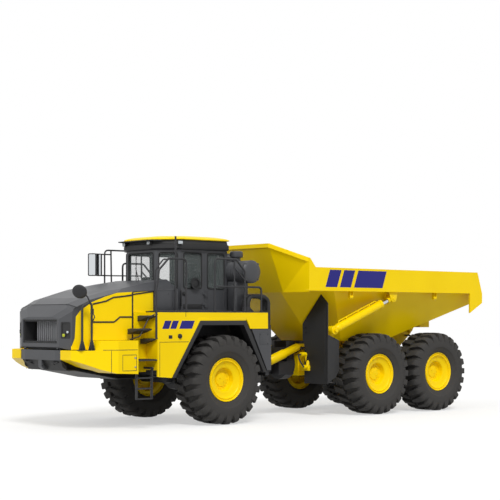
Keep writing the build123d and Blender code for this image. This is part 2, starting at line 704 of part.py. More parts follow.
cap_low = eave_z + eave_band
with BuildPart() as cab_roof:
    with BuildSketch(Plane.XY.offset(cap_low)):
        Polygon((cab_front_x - 15, 540), (cab_corner_x + 30, roof_half), (cab_rear_x + 20, roof_half),
                (cab_rear_x + 20, -roof_half), (cab_corner_x + 30, -roof_half), (cab_front_x - 15, -540),
                align=None)
    extrude(amount=roof_z - cap_low)
    with BuildSketch(Plane.XZ):
        Polygon((cab_front_x, cap_low), (cab_front_x, cap_low + 45), (cab_front_x - 250, roof_z - 50),
                (cab_corner_x - 250, roof_z), (cab_rear_x + 500, roof_z), (cab_rear_x + 150, roof_z - 50),
                (cab_rear_x, cap_low + 60), (cab_rear_x, cap_low), align=None)
    extrude(amount=roof_half, both=True, mode=Mode.INTERSECT)
    with BuildSketch(Plane.YZ):
        Polygon((roof_half, cap_low), (roof_half, cap_low + 50), (roof_half - 240, roof_z - 45),
                (450, roof_z), (-450, roof_z), (240 - roof_half, roof_z - 45), (-roof_half, cap_low + 50),
                (-roof_half, cap_low), align=None)
    extrude(amount=nose_x, mode=Mode.INTERSECT)
write(cab_roof.part, "cab_roof")

door_x = (door_rear_x + door_front_x) / 2
door_y = cab_half_width - cab_wall / 2
with BuildPart() as door_panel:
    with Locations((door_x, door_y, (door_low + door_high) / 2)):
        Box(door_front_x - door_rear_x, cab_wall, door_high - door_low)
    with Locations((door_x, door_y, window_mid)):
        Box(door_front_x - door_rear_x - 140, 2 * cab_wall, window_tall, mode=Mode.SUBTRACT)
    for z in door_hinges:
        with BuildSketch(Plane.XY.offset(z + gap)):
            Polygon((door_hinge_x, door_hinge_y - 14), (door_rear_x, cab_half_width),
                    (door_rear_x + 50, cab_half_width), (door_rear_x + 50, cab_half_width + 12),
                    (door_hinge_x, door_hinge_y + 10), align=None)
            with Locations((door_hinge_x, door_hinge_y)):
                Circle(18)
                Circle(door_pin_radius + slip, mode=Mode.SUBTRACT)
        extrude(amount=35)
write(door_panel.part, "door_panel")

with BuildPart() as door_glass:
    with Locations((door_x, door_y, window_mid)):
        Box(door_front_x - door_rear_x - 140 - 2 * slip, pane, window_tall - 2 * slip)
write(door_glass.part, "door_glass")

floor_top = deck_z + 30
seat_x = cab_front_x - 1070
seat_top = floor_top + 420
headrest_z = eave_z - 230
with BuildPart() as seat:
    with Locations((seat_x - 30, 0, floor_top)):
        Box(300, 300, seat_top - 120 - floor_top, align=(Align.CENTER, Align.CENTER, Align.MIN))
    with Locations((seat_x, 0, seat_top)):
        Box(520, 520, 120, align=(Align.CENTER, Align.CENTER, Align.MAX))
    with BuildSketch(side_plane(-250)):
        Polygon((seat_x - 260, seat_top - 135), (seat_x - 160, seat_top - 20), (seat_x - 260, headrest_z),
                (seat_x - 350, headrest_z), align=None)
    extrude(amount=-500)
write(seat.part, "seat")

wheel_tilt = Plane(origin=(cab_corner_x - 220, 0, 2960), z_dir=(-1, 0, 1.4))
with BuildPart() as dashboard:
    with BuildSketch(side_plane(-460)):
        Polygon((cab_front_x - 60, floor_top), (cab_front_x - 60, 2830), (cab_corner_x, 2900),
                (cab_corner_x - 120, 2780), (cab_corner_x + 60, floor_top), align=None)
    extrude(amount=-920)
    # steering wheel on its column
    with BuildSketch(wheel_tilt):
        RegularPolygon(215, round_sides)
        RegularPolygon(180, round_sides, mode=Mode.SUBTRACT)
        Rectangle(380, 50)
        Circle(50)
    extrude(amount=25)
    with BuildSketch(wheel_tilt):
        RegularPolygon(35, 8)
    extrude(amount=-240)
write(dashboard.part, "dashboard")

# Service box and air cleaner behind the cab

service_width = 1400
with BuildPart() as service_box:
    with Locations((cab_rear_x - 45, service_width / 2 - 850, deck_z)):
        Box(490, service_width, eave_z - 20 - deck_z, align=(Align.MAX, Align.CENTER, Align.MIN))
write(service_box.part, "service_box")

drum_radius = 250
drum_x = cab_rear_x - 65 - drum_radius
drum_z = 3235
with BuildPart() as air_cleaner:
    with BuildSketch(side_plane(cab_half_width - 400)):
        with Locations((drum_x, drum_z)):
            RegularPolygon(drum_radius, round_sides, major_radius=False)
    extrude(amount=-350)
    with Locations((drum_x + 90, cab_half_width - 230, deck_z)):
        Box(0.6 * drum_radius, 240, drum_z - deck_z - 0.8 * drum_radius,
            align=(Align.CENTER, Align.CENTER, Align.MIN))
write(air_cleaner.part, "air_cleaner")

# Tanks behind the front wheels, standing on the rear outriggers

tank_rear_x = deck_rear_x - 95
tank_low = rail_bottom + 110 + slip
tank_high = fender_rear[0][1] - 10
with BuildPart() as fender_tanks:
    with BuildSketch(side_plane(1020)):
        Polygon((tank_rear_x, tank_low), (1215, tank_low), (1650, tank_high), (tank_rear_x, tank_high),
                align=None)
    extrude(amount=-(body_y - gap - 1020))
    mirror(about=Plane.XZ)
write(fender_tanks.part, "fender_tanks")

# Handrails: stair grabs, bay rails, guard rails round the deck, corner rails on the bumper

front_grab = ((4745, 0, side_top_z), (4745, 0, 2750), (4650, 0, 2750), (4650, 0, side_top_z))
guard = ((2660, 0, deck_z), (2660, 0, 3455), (2080, 0, 3455), (1840, 0, 3210), (1840, 0, deck_z))
guard_rail = ((2660, 0, 2880), (1380, 0, 2880), (1380, 0, deck_z))
guard_post = ((2130, 0, deck_z), (2130, 0, 3450))
corner_posts = ((5640, 1200), (5450, 1250))
corner_rail_z = 2540


def grab(end_x):
    """Grab rail at the head of the stairs, back to its rear post."""
    return ((4110, 0, deck_z), (4110, 0, 2500), (4080, 0, 3210), (3860, 0, 3420), (end_x, 0, 3425),
            (end_x, 0, deck_z))


def corner_rail(s):
    """Hoop on the bumper's corner, left for s = 1 and right for s = -1."""
    (x, y), (rear_x, rear_y) = corner_posts
    return tube([(x, s * y, bumper_top_z), (x, s * y, corner_rail_z), (rear_x, s * rear_y, corner_rail_z + 60),
                 (rear_x, s * rear_y, bumper_top_z)])


with BuildPart() as handrails:
    for s, grab_end_x in ((1, cab_front_x + 60), (-1, cab_front_x + 350)):
        # line of the rail, distance from the middle
        for line, y in ((grab(grab_end_x), rail_line_y), (front_grab, rail_line_y - 30), (guard, rail_line_y),
                        (guard_rail, rail_line_y), (guard_post, rail_line_y)):
            add(tube([(x, s * y, z) for x, _, z in line]))
    add(corner_rail(-1))
write(handrails.part, "handrails")

# Mirrors: a framed pair on the right, a round one on the left corner hoop, a pole at the cab's corner

frame_y = 60 - rail_line_y
mirror_tilt = 45
disc_radius = 180
disc_centre = (nose_x - 46, 1400, corner_rail_z + 180)
pole_x = cab_front_x + 100
pole_y = deck_inner_y + 40
with BuildPart() as mirrors:
    add(tube([(3190, frame_y, deck_z), (3190, frame_y, 3730), (2180, frame_y, 3730), (2180, frame_y, deck_z)]))
    add(tube([(3000, frame_y, deck_z), (3000, frame_y, 3730)]))
    for z in (3170, 3650):
        add(tube([(2180, frame_y, z), (3560, frame_y, z)]))
    for x in (3550, 3330):
        with Locations(Location((x, frame_y, 3410), (0, 0, mirror_tilt))):
            Box(50, 200, 500)
    add(tube([(pole_x, pole_y, deck_z), (pole_x, pole_y, 3900)]))
    add(corner_rail(1))
    add(tube([(*corner_posts[1], corner_rail_z + 30), disc_centre]))
    with BuildSketch(Plane(origin=disc_centre, z_dir=(1, 0.25, 0))):
        RegularPolygon(disc_radius, round_sides)
    extrude(amount=-40)
write(mirrors.part, "mirrors")

# Headlamp units in the slanted nose corners

lamp_recess = 10
with BuildPart() as headlamps:
    for s in (1, -1):
        with Locations(Location((lamp_x, s * lamp_y, lamp_z), (0, 0, s * lamp_angle))):
            with Locations((-lamp_recess, 0, 0)):
                Box(20, lamp_width - 2 * slip, lamp_height - 2 * slip,
                    align=(Align.MAX, Align.CENTER, Align.CENTER))
write(headlamps.part, "headlamps")

# Hydraulic hoses behind the left fender, formed in an arch between two blocks on the tank

hose_radius = 55
hose_y = body_y - 170
hose_top_z = deck_z + 315
hose_low_z = 1755
hose_rear_x = tank_rear_x - hose_radius - gap
with BuildPart() as hoses:
    for y in (hose_y, hose_y - 130):
        add(tube([(deck_rear_x + 420, y, deck_z), (deck_rear_x + 420, y, hose_top_z - 120),
                  (deck_rear_x + 300, y, hose_top_z), (deck_rear_x + 10, y, hose_top_z),
                  (hose_rear_x, y, hose_top_z - 140), (hose_rear_x, y, hose_low_z)], hose_radius, 8))
    with Locations((tank_rear_x - slip, hose_y - 65, hose_low_z + 5)):
        Box(120, 280, 120, align=(Align.MAX, Align.CENTER, Align.MAX))
write(hoses.part, "hoses")

# Hitch: vertical barrel, arm, flange, trunnion and the cylinder lugs

barrel_low = clevis_low + plate + gap
barrel_high = clevis_high - plate - gap
foot_x, foot_y, foot_z = steer_foot
steer_eye = 100
steer_lug = 70
pin_radius = 45  # foot pins of all four cylinders
arm_half = 140
cheek_half = 400
with BuildPart() as hitch:
    with BuildSketch(Plane.XY.offset(barrel_low)):
        Polygon((steer_x, -arm_half), (steer_x, arm_half), (-600, arm_half), (-600, -arm_half), align=None)
    extrude(amount=barrel_high - barrel_low - 200)
    with BuildSketch(Plane.XY.offset(barrel_low)):
        with Locations((steer_x, 0)):
            RegularPolygon(170, 16)
    extrude(amount=barrel_high - barrel_low)
    # wide cheeks of the arm
    with Locations((-240, 0, 930)):
        Box(460, 2 * cheek_half, 300, align=(Align.MAX, Align.CENTER, Align.MIN))
    with BuildSketch(Plane.YZ.offset(spindle_face_x)):
        with Locations((0, oscillate_z)):
            RegularPolygon(340, 16)
    extrude(amount=240)
    with BuildSketch(Plane.YZ.offset(spindle_face_x)):
        with Locations((0, oscillate_z)):
            Circle(trunnion_radius)
    extrude(amount=-400)
    with BuildSketch(Plane.YZ.offset(spindle_face_x - 385)):
        with Locations((0, oscillate_z)):
            RegularPolygon(220, round_sides)
    extrude(amount=-30)
    with Locations((-720, 0, oscillate_z)):
        Box(160, 600, foot_z - steer_eye / 2 - gap - oscillate_z, align=(Align.CENTER, Align.CENTER, Align.MIN))
    for s in (1, -1):
        for z in (foot_z - steer_eye / 2 - gap - 40, foot_z + steer_eye / 2 + gap):
            with BuildSketch(Plane.XY.offset(z)):
                with Locations((foot_x, s * foot_y)):
                    RegularPolygon(steer_lug, round_sides)
                Polygon((foot_x - steer_lug, s * foot_y), (foot_x + steer_lug, s * foot_y),
                        (foot_x + steer_lug, s * 300), (foot_x + steer_lug, s * 200),
                        (foot_x - steer_lug, s * 200), align=None)
            extrude(amount=40)
        with Locations((foot_x - steer_lug, s * 250, foot_z - steer_eye / 2 - gap - 40)):
            Box(-640 - foot_x + steer_lug, 100, steer_eye + 2 * gap + 80,
                align=(Align.MIN, Align.CENTER, Align.MIN))
        with BuildSketch(Plane.XY.offset(foot_z - 90)):
            with Locations((foot_x, s * foot_y)):
                Circle(pin_radius)
        extrude(amount=180)
    with BuildSketch(Plane.XY.offset(clevis_low)):
        with Locations((steer_x, 0)):
            Circle(steer_pin_radius + slip)
    extrude(amount=1000, mode=Mode.SUBTRACT)
write(hitch.part, "hitch")

# Steering cylinders

steer_barrel_radius = 90
steer_rod_radius = 45
steer_gland = 765
steer_start = 114
steer_bore = 125
steer_rod_eye = 75
for side_name, s in (("left", 1), ("right", -1)):
    foot = Vector(steer_foot[0], s * steer_foot[1], steer_foot[2])
    head = Vector(steer_head[0], s * steer_head[1], steer_head[2])
    along = (head - foot).normalized()
    with BuildPart() as steer_barrel:
        with BuildSketch(Plane.XY.offset(foot_z - steer_eye / 2)):
            with Locations((foot.X, foot.Y)):
                RegularPolygon(82, round_sides)
        extrude(amount=steer_eye)
        with BuildSketch(Plane(origin=foot + along * steer_start, z_dir=along)):
            RegularPolygon(steer_barrel_radius, round_sides)
        extrude(amount=steer_gland - steer_start)
        with BuildSketch(Plane(origin=foot + along * 50, x_dir=(0, 1, 0), z_dir=along)):
            Rectangle(110, steer_eye / 2)
        extrude(amount=steer_start - 45)
        with BuildSketch(Plane(origin=foot + along * steer_bore, z_dir=along)):
            RegularPolygon(steer_rod_radius + slip, round_sides)
        extrude(amount=1000, mode=Mode.SUBTRACT)
        with BuildSketch(Plane.XY.offset(foot_z - 100)):
            with Locations((foot.X, foot.Y)):
                Circle(pin_radius + slip)
        extrude(amount=200, mode=Mode.SUBTRACT)
    write(steer_barrel.part, f"steer_barrel_{side_name}")
    with BuildPart() as steer_rod:
        with BuildSketch(Plane(origin=head - along * 725, z_dir=along)):
            RegularPolygon(steer_rod_radius, round_sides)
        extrude(amount=685)
        with BuildSketch(Plane.XY.offset(head.Z - 55)):
            with Locations((head.X, head.Y)):
                RegularPolygon(steer_rod_eye, round_sides)
        extrude(amount=110)
        with BuildSketch(Plane.XY.offset(head.Z - 50)):
            with Locations((head.X, head.Y)):
                RegularPolygon(35, round_sides)
        extrude(amount=100, mode=Mode.SUBTRACT)
    write(steer_rod.part, f"steer_rod_{side_name}")

# Rear frame: trunnion housing, two stepped rails, cross members, pads, tip lugs

housing_rear_x = spindle_face_x - 380
rail_outline = (
    (spindle_face_x - 10, 900), (spindle_face_x - 10, 1370), (-1500, 1370), (-1900, 1560), (-3500, 1560),
    (-4200, 1980), (tip_x - 60, tip_z + 100), (tip_x - 130, tip_z), (tip_x - 60, tip_z - 120), (-3950, 1300),
    (-3300, 1150), (-2600, 1150), (-2000, 1110), (-1500, 900),
)
with BuildPart() as rear_frame:
    with BuildSketch(side_plane(frame_half_width - 120)):
        Polygon(*rail_outline, align=None)
    extrude(amount=-120)
    mirror(about=Plane.XZ)
    with Locations(((spindle_face_x - 10 + housing_rear_x) / 2, 0, (900 + 1370) / 2)):
        Box(spindle_face_x - 10 - housing_rear_x, 2 * frame_half_width, 470)
    for x, z, h in ((-1700, 1250, 200), (-3280, 1350, 300), (-4350, 1850, 160)):
        with Locations((x, 0, z)):
            Box(160, 2 * frame_half_width - 120, h)
    # pads that the bed rests on
    for x in (-2100, -3050):
        with Locations((x, frame_half_width - 60, 1560), (x, -frame_half_width + 60, 1560)):
            Box(200, 110, floor_z - 1560 - slip, align=(Align.CENTER, Align.CENTER, Align.MIN))
    # outriggers that carry the hoist cylinders and the flaps
    with Locations((-925, 0, 1000)):
        Box(150, 2 * (hoist_y - 90), 240, align=(Align.CENTER, Align.CENTER, Align.MIN))
    for s in (1, -1):
        with BuildSketch(side_plane(s * (hoist_y - 140) - 40)):
            with BuildLine():
                Polyline((-940, 1955), (-1000, 1000), (-720, 1000), (-760, 1955))
                ThreePointArc((-760, 1955), (-850, 2045), (-940, 1955))
            make_face()
        extrude(amount=-80)
        with BuildSketch(side_plane(s * (hoist_y - 140) + (0 if s > 0 else -240))):
            with Locations((hoist_foot[0], hoist_foot[2])):
                Circle(pin_radius)
        extrude(amount=-240)
    # trunnion for the bogie beams
    with BuildSketch(Plane.XZ):
        with Locations((-3280, 1250)):
            RegularPolygon(80, round_sides)
    extrude(amount=720, both=True)
    with BuildSketch(Plane.YZ.offset(spindle_face_x)):
        with Locations((0, oscillate_z)):
            Circle(trunnion_radius + slip)
    extrude(amount=-500, mode=Mode.SUBTRACT)
    with BuildSketch(Plane.XZ):
        with Locations((tip_x, tip_z)):
            Circle(tip_pin_radius + slip)
    extrude(amount=1000, both=True, mode=Mode.SUBTRACT)
write(rear_frame.part, "rear_frame")

# Bogie beams over the axle saddles, turning on the frame's trunnion

with BuildPart() as bogie_beams:
    for s in (1, -1):
        with BuildSketch(side_plane(s * saddle_y - 60)):
            Polygon((mid_axle_x + 130, saddle_top + slip), (mid_axle_x + 130, saddle_top + 120), (-3100, 1400),
                    (-3460, 1400), (rear_axle_x - 130, saddle_top + 120), (rear_axle_x - 130, saddle_top + slip),
                    align=None)
        extrude(amount=-120)
    with BuildSketch(Plane.XZ):
        with Locations((-3280, 1250)):
            RegularPolygon(80 + slip, round_sides)
    extrude(amount=1000, both=True, mode=Mode.SUBTRACT)
write(bogie_beams.part, "bogie_beams")

# Flaps ahead of the mid wheels

flap_y = half_width - 180
flap_outline = ((flap_y - 760, 740), (flap_y, 740), (flap_y, 2560), (flap_y - 220, 2760), (flap_y - 820, 2100),
                (flap_y - 820, 1750), (flap_y - 760, 1600))
with BuildPart() as mud_flaps:
    with BuildSketch(Plane.YZ.offset(-720)):
        Polygon(*flap_outline, align=None)
    extrude(amount=20)
    mirror(about=Plane.XZ)
write(mud_flaps.part, "mud_flaps")

# Hoist cylinders: barrel, telescoping stage and rod

hoist_length = (Vector(*hoist_head) - Vector(*hoist_foot)).length
hoist_gland = 1640
hoist_barrel_radius = 95
hoist_stage_radius = 75
hoist_rod_radius = 50
hoist_eye = 110
for side_name, s in (("left", 1), ("right", -1)):
    foot = Vector(hoist_foot[0], s * hoist_foot[1], hoist_foot[2])
    head = Vector(hoist_head[0], s * hoist_head[1], hoist_head[2])
    along = (head - foot).normalized()
    with BuildPart() as hoist_barrel:
        with BuildSketch(Plane(origin=foot + along * 100, z_dir=along)):
            RegularPolygon(hoist_barrel_radius, round_sides)
        extrude(amount=hoist_gland - 100)
        with BuildSketch(side_plane(foot.Y - hoist_eye / 2)):
            with Locations((foot.X, foot.Z)):
                RegularPolygon(100, round_sides)
        extrude(amount=-hoist_eye)
        with BuildSketch(Plane(origin=foot + along * 60, z_dir=along)):
            Rectangle(hoist_eye, 150)
        extrude(amount=60)
        with BuildSketch(side_plane(foot.Y - 200)):
            with Locations((foot.X, foot.Z)):
                Circle(pin_radius + slip)
        extrude(amount=-400, mode=Mode.SUBTRACT)
        with BuildSketch(Plane(origin=foot + along * 130, z_dir=along)):
            RegularPolygon(hoist_stage_radius + slip, round_sides)
        extrude(amount=2000, mode=Mode.SUBTRACT)
    write(hoist_barrel.part, f"hoist_barrel_{side_name}")
    with BuildPart() as hoist_stage:
        with BuildSketch(Plane(origin=foot + along * 150, z_dir=along)):
            RegularPolygon(hoist_stage_radius, round_sides)
        extrude(amount=hoist_gland + 20 - 150)
        with BuildSketch(Plane(origin=foot + along * 170, z_dir=along)):
            RegularPolygon(hoist_rod_radius + slip, round_sides)
        extrude(amount=2000, mode=Mode.SUBTRACT)
    write(hoist_stage.part, f"hoist_stage_{side_name}")
    with BuildPart() as hoist_rod:
        with BuildSketch(Plane(origin=foot + along * 300, z_dir=along)):
            RegularPolygon(hoist_rod_radius, round_sides)
        extrude(amount=hoist_length - 300 - 50)
        with BuildSketch(side_plane(head.Y - hoist_eye / 2 - 3)):
            with Locations((head.X, head.Z)):
                RegularPolygon(85, round_sides)
        extrude(amount=-hoist_eye - 6)
        with BuildSketch(side_plane(head.Y - 100)):
            with Locations((head.X, head.Z)):
                RegularPolygon(40, round_sides)
        extrude(amount=-200, mode=Mode.SUBTRACT)
    write(hoist_rod.part, f"hoist_rod_{side_name}")

# Bed: hull of plates, box rails, leaning headboard, tip lugs with their pin

bed_plate = 20
crease_x = 60
crease_z = 2840
floor_front_x = -1150
floor_break_x = -3165
chute_z = 2600
wall_high_y = half_width - 220
wall_low_y = wall_high_y - 560
rail_front = ((45, rail_low_z), (-165, rail_high_z))
rail_rear = ((tail_x + 175, rail_high_z), (tail_x, rail_low_z))
beyond = 100  # overshoot of cutting bodies
# facet between front wall and side wall, through the flap's inner edge
facet_point = (-700, wall_low_y - 370, 2050)
facet_normal = (0.497, 0.7, -0.68)
headboard_y = 900
headboard_z = 3880
wing_y = half_width - 20
wing_z = 3550
foot_board_z = crease_z - 40  # lower edge of the headboard
headboard = ((85, foot_board_z), (494, headboard_z - 90), (535, headboard_z - 90), (535, headboard_z),
             (505, headboard_z), (55, foot_board_z))

with BuildPart() as load_space:
    with BuildSketch(Plane.XZ):
        Polygon((crease_x - 30, rail_low_z + bed_plate), (floor_front_x - 15, floor_z + bed_plate),
                (floor_break_x, floor_z + bed_plate), (tail_x - beyond, chute_z + bed_plate + 33),
                (tail_x - beyond, rail_low_z + bed_plate), align=None)
    extrude(amount=half_width, both=True)
    with BuildSketch(Plane.YZ.offset(tail_x - 2 * beyond)):
        Polygon((wall_low_y - bed_plate, floor_z), (wall_high_y - bed_plate, rail_low_z + bed_plate),
                (bed_plate - wall_high_y, rail_low_z + bed_plate), (bed_plate - wall_low_y, floor_z),
                align=None)
    extrude(amount=crease_x - tail_x + 4 * beyond, mode=Mode.INTERSECT)
    for s in (1, -1):
        normal = Vector(facet_normal[0], s * facet_normal[1], facet_normal[2]).normalized()
        inner = Vector(facet_point[0], s * facet_point[1], facet_point[2]) - normal * bed_plate
        with BuildSketch(Plane(origin=inner, z_dir=normal)):
            Rectangle(cut_reach, cut_reach)
        extrude(amount=cut_reach, mode=Mode.SUBTRACT)
    with BuildSketch(Plane.XZ):
        Polygon((20, rail_low_z + bed_plate), (20, rail_high_z + beyond),
                (tail_x - beyond, rail_high_z + beyond), (tail_x - beyond, rail_low_z + bed_plate), align=None)
    extrude(amount=wall_high_y - bed_plate, both=True)

with BuildPart() as bed:
    with BuildSketch(Plane.XZ):
        Polygon((crease_x, rail_low_z), (floor_front_x, floor_z), (floor_break_x, floor_z), (tail_x, chute_z),
                (tail_x, rail_low_z), align=None)
    extrude(amount=half_width, both=True)
    with BuildSketch(Plane.YZ.offset(tail_x - beyond)):
        Polygon((wall_low_y, floor_z), (wall_high_y, rail_low_z), (-wall_high_y, rail_low_z),
                (-wall_low_y, floor_z), align=None)
    extrude(amount=crease_x - tail_x + 2 * beyond, mode=Mode.INTERSECT)
    for s in (1, -1):
        normal = Vector(facet_normal[0], s * facet_normal[1], facet_normal[2]).normalized()
        with BuildSketch(Plane(origin=(facet_point[0], s * facet_point[1], facet_point[2]), z_dir=normal)):
            Rectangle(cut_reach, cut_reach)
        extrude(amount=cut_reach, mode=Mode.SUBTRACT)
    with BuildSketch(Plane.XZ):
        Polygon(*rail_front, *rail_rear, align=None)
    extrude(amount=half_width, both=True)
    with BuildSketch(Plane.XZ):
        Polygon(*headboard, align=None)
    extrude(amount=headboard_y, both=True)
    for s in (1, -1):
        low, high = (85, s * headboard_y, foot_board_z), (535, s * headboard_y, headboard_z)
        tip, tip_low = (35, s * wing_y, wing_z), (35, s * wing_y, foot_board_z)
        add(flat_plate((low, high, tip), (-30, 0, 0)))
        add(flat_plate((low, tip, tip_low), (-30, 0, 0)))
        # bright rim along the wing's top edge
        add(flat_plate((high, tip, (*tip[:2], wing_z - 90), (*high[:2], headboard_z - 90)), (-45, 0, 0)))
        # gusset from the wing down to the rail
        with BuildSketch(side_plane(min(s * (half_width - 25), s * half_width))):
            Polygon((35, rail_low_z), (35, wing_z), (5, wing_z), rail_front[1], (-400, rail_high_z),
                    (-400, rail_low_z), align=None)
        extrude(amount=-25)
    add(load_space.part, mode=Mode.SUBTRACT)
    # tip lugs and pin
    for s in (1, -1):
        near = s * (frame_half_width + gap)
        with BuildSketch(side_plane(min(near, near + s * 60))):
            Polygon((tip_x - 90, tip_z), (tip_x, tip_z - 100), (tip_x + 90, tip_z), (tip_x + 250, 2100),
                    (tip_x - 250, 2260), align=None)
        extrude(amount=-60)
    with BuildSketch(Plane.XZ):
        with Locations((tip_x, tip_z)):
            Circle(tip_pin_radius)
    extrude(amount=frame_half_width + gap + 80, both=True)
    for s in (1, -1):
        # side plates under the tail of each rail, blocks under the chute for the lamps
        with BuildSketch(side_plane(min(s * (half_width - 40), s * half_width))):
            Polygon((-5391, rail_low_z + 5), (-5391, 2350), (tail_x, chute_z), (tail_x, rail_low_z + 5),
                    align=None)
        extrude(amount=-40)
        with BuildSketch(side_plane(min(s * 500, s * 900))):
            Polygon((-4450, 2000), (-4450, 2160), (-4790, 2274), (-4790, 2000), align=None)
        extrude(amount=-400)
    # brackets beside the hoist rods' eyes
    for s in (1, -1):
        y = hoist_y - hoist_eye / 2 - 3 - gap
        with BuildSketch(side_plane(min(s * (y - 40), s * y))):
            Polygon((hoist_head[0] - 100, hoist_head[2] - 90), (hoist_head[0] + 100, hoist_head[2] - 90),
                    (hoist_head[0] + 150, rail_low_z), (hoist_head[0] - 150, rail_low_z), align=None)
        extrude(amount=-40)
write(bed.part, "bed")
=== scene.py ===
# Articulated dump truck: finishes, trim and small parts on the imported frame.
# Pieces are drawn in millimetres, x forward, y to the left, z up; asPiece brings them to Blender's metres.
import json
from math import cos, pi, radians, sin, tan

import bmesh
import bpy
from mathutils import Matrix, Vector


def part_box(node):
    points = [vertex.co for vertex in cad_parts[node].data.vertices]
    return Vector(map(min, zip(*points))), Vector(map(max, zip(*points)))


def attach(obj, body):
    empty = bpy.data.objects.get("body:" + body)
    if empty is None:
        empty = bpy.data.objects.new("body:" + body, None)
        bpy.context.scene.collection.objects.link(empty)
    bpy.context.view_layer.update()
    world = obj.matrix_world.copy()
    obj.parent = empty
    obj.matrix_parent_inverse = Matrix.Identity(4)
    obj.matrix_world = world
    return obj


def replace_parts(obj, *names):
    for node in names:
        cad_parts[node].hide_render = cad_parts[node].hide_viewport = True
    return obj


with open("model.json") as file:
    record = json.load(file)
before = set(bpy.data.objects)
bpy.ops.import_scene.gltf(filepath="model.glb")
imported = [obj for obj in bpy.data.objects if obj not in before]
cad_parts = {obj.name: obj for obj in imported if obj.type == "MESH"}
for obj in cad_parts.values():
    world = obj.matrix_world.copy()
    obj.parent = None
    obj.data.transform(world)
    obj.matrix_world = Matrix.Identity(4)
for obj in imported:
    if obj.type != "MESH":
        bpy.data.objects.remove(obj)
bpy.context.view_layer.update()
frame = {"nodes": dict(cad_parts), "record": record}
nodes = frame["nodes"]
print("frame loaded:", len(nodes), "nodes")


def linear(hexColour):
    # sRGB hex to the linear colour that a shader socket takes
    parts = [int(hexColour[i:i + 2], 16) / 255 for i in (1, 3, 5)]
    return tuple(c / 12.92 if c <= 0.04045 else ((c + 0.055) / 1.055) ** 2.4 for c in parts) + (1.0,)


def addNode(tree, kind, settings=None, inputs=None, links=None):
    # adds one node, sets its properties and sockets, and links sockets from (node, output) pairs
    node = tree.nodes.new(kind)
    for key, value in (settings or {}).items():
        setattr(node, key, value)
    for key, value in (inputs or {}).items():
        node.inputs[key].default_value = value
    for key, (source, output) in (links or {}).items():
        tree.links.new(source.outputs[output], node.inputs[key])
    return node


# colours are the middle tone and the slightly darker tone that the surface drifts to,
# pattern is the real size of the surface grain in millimetres
finishes = {
    # two-pack polyurethane enamel, sprayed: glossy with a faint orange peel
    "yellowEnamel": dict(colour="#FFDC00", shade="#F4CE00", rough=0.36, drift=0.08, pattern=9, bump=0.04,
                         shine=0.16),
    # the same enamel in dark grey, satin: broad soft highlights
    "greyEnamel": dict(colour="#46474A", shade="#3E3F42", rough=0.42, drift=0.08, pattern=9, bump=0.04),
    # chassis enamel over rough castings and plate: dull, almost black
    "frameEnamel": dict(colour="#2C2C2F", shade="#232325", rough=0.55, drift=0.12, pattern=16, bump=0.15),
    # sand-cast iron under thin paint: pitted by the mould's sand
    "castIron": dict(colour="#353537", shade="#28282A", rough=0.62, drift=0.12, pattern=12, bump=0.35),
    # moulded polypropylene, black: spark-eroded grain that takes the shine off
    "mouldedPlastic": dict(colour="#262627", shade="#1F1F20", rough=0.6, drift=0.08, pattern=5, bump=0.18),
    # vulcanised tyre rubber: matt, greyed by dust in the low parts
    "tyreRubber": dict(colour="#302F2E", shade="#3C3A38", rough=0.82, drift=0.1, pattern=14, bump=0.25),
    # synthetic rubber hose with a fabric imprint: dull black
    "hoseRubber": dict(colour="#1D1D1E", shade="#262626", rough=0.66, drift=0.08, pattern=4, bump=0.25),
    # light grey enamel on the grille's slats, semi-gloss; its colour is lightened above the enamel's own grey
    # as painted light, to make up for the shade deep in the duct
    "slatEnamel": dict(colour="#B4B5B8", shade="#A4A5A9", rough=0.45, drift=0.06, pattern=8, bump=0.05),
    # raised-pattern steel plate underfoot, painted and scuffed
    "treadSteel": dict(colour="#3A3A3C", shade="#4A4A4C", rough=0.52, drift=0.14, pattern=22, bump=0.45),
    # woven polyester seat cover: thread pitch 1.2 mm, drawn at 3 mm so that it shows
    "seatFabric": dict(colour="#3B3C40", shade="#33343A", rough=0.88, drift=0.05, pattern=3, bump=0.4),
    # indigo vinyl film, smooth and a little shinier than the enamel
    "indigoFilm": dict(colour="#27267F", shade="#232276", rough=0.32, drift=0.05, pattern=30, bump=0.01,
                       shine=0.2),
}

metals = {
    # hard chrome on a ground rod: mirror-like with fine marks round the rod
    "hardChrome": dict(colour="#C9CBCE", rough=0.14, pattern=2, bump=0.03),
    # silvered glass of a mirror, taken as a metal surface
    "silveredGlass": dict(colour="#D5D9DC", rough=0.03, pattern=400, bump=0.0),
    # zinc-plated steel: bolts and clips
    "zincPlate": dict(colour="#9A9C9F", rough=0.38, pattern=3, bump=0.08),
}


def newSurface(name):
    # a fresh surface: the material, its tree, its shader, and the object's own coordinates
    material = bpy.data.materials.new(name)
    material.use_nodes = True
    tree = material.node_tree
    return material, tree, tree.nodes["Principled BSDF"], addNode(tree, "ShaderNodeTexCoord")


def glossAndGrain(tree, shader, spec, gloss, low, high, grain, depth):
    # roughness runs from low to high with the gloss noise, and the grain noise is the relief
    roughRange = addNode(tree, "ShaderNodeMapRange", None, {"To Min": low, "To Max": high},
                         {"Value": (gloss, "Fac")})
    tree.links.new(roughRange.outputs["Result"], shader.inputs["Roughness"])
    relief = addNode(tree, "ShaderNodeBump", None, {"Strength": spec["bump"], "Distance": depth},
                     {"Height": (grain, "Fac")})
    tree.links.new(relief.outputs["Normal"], shader.inputs["Normal"])


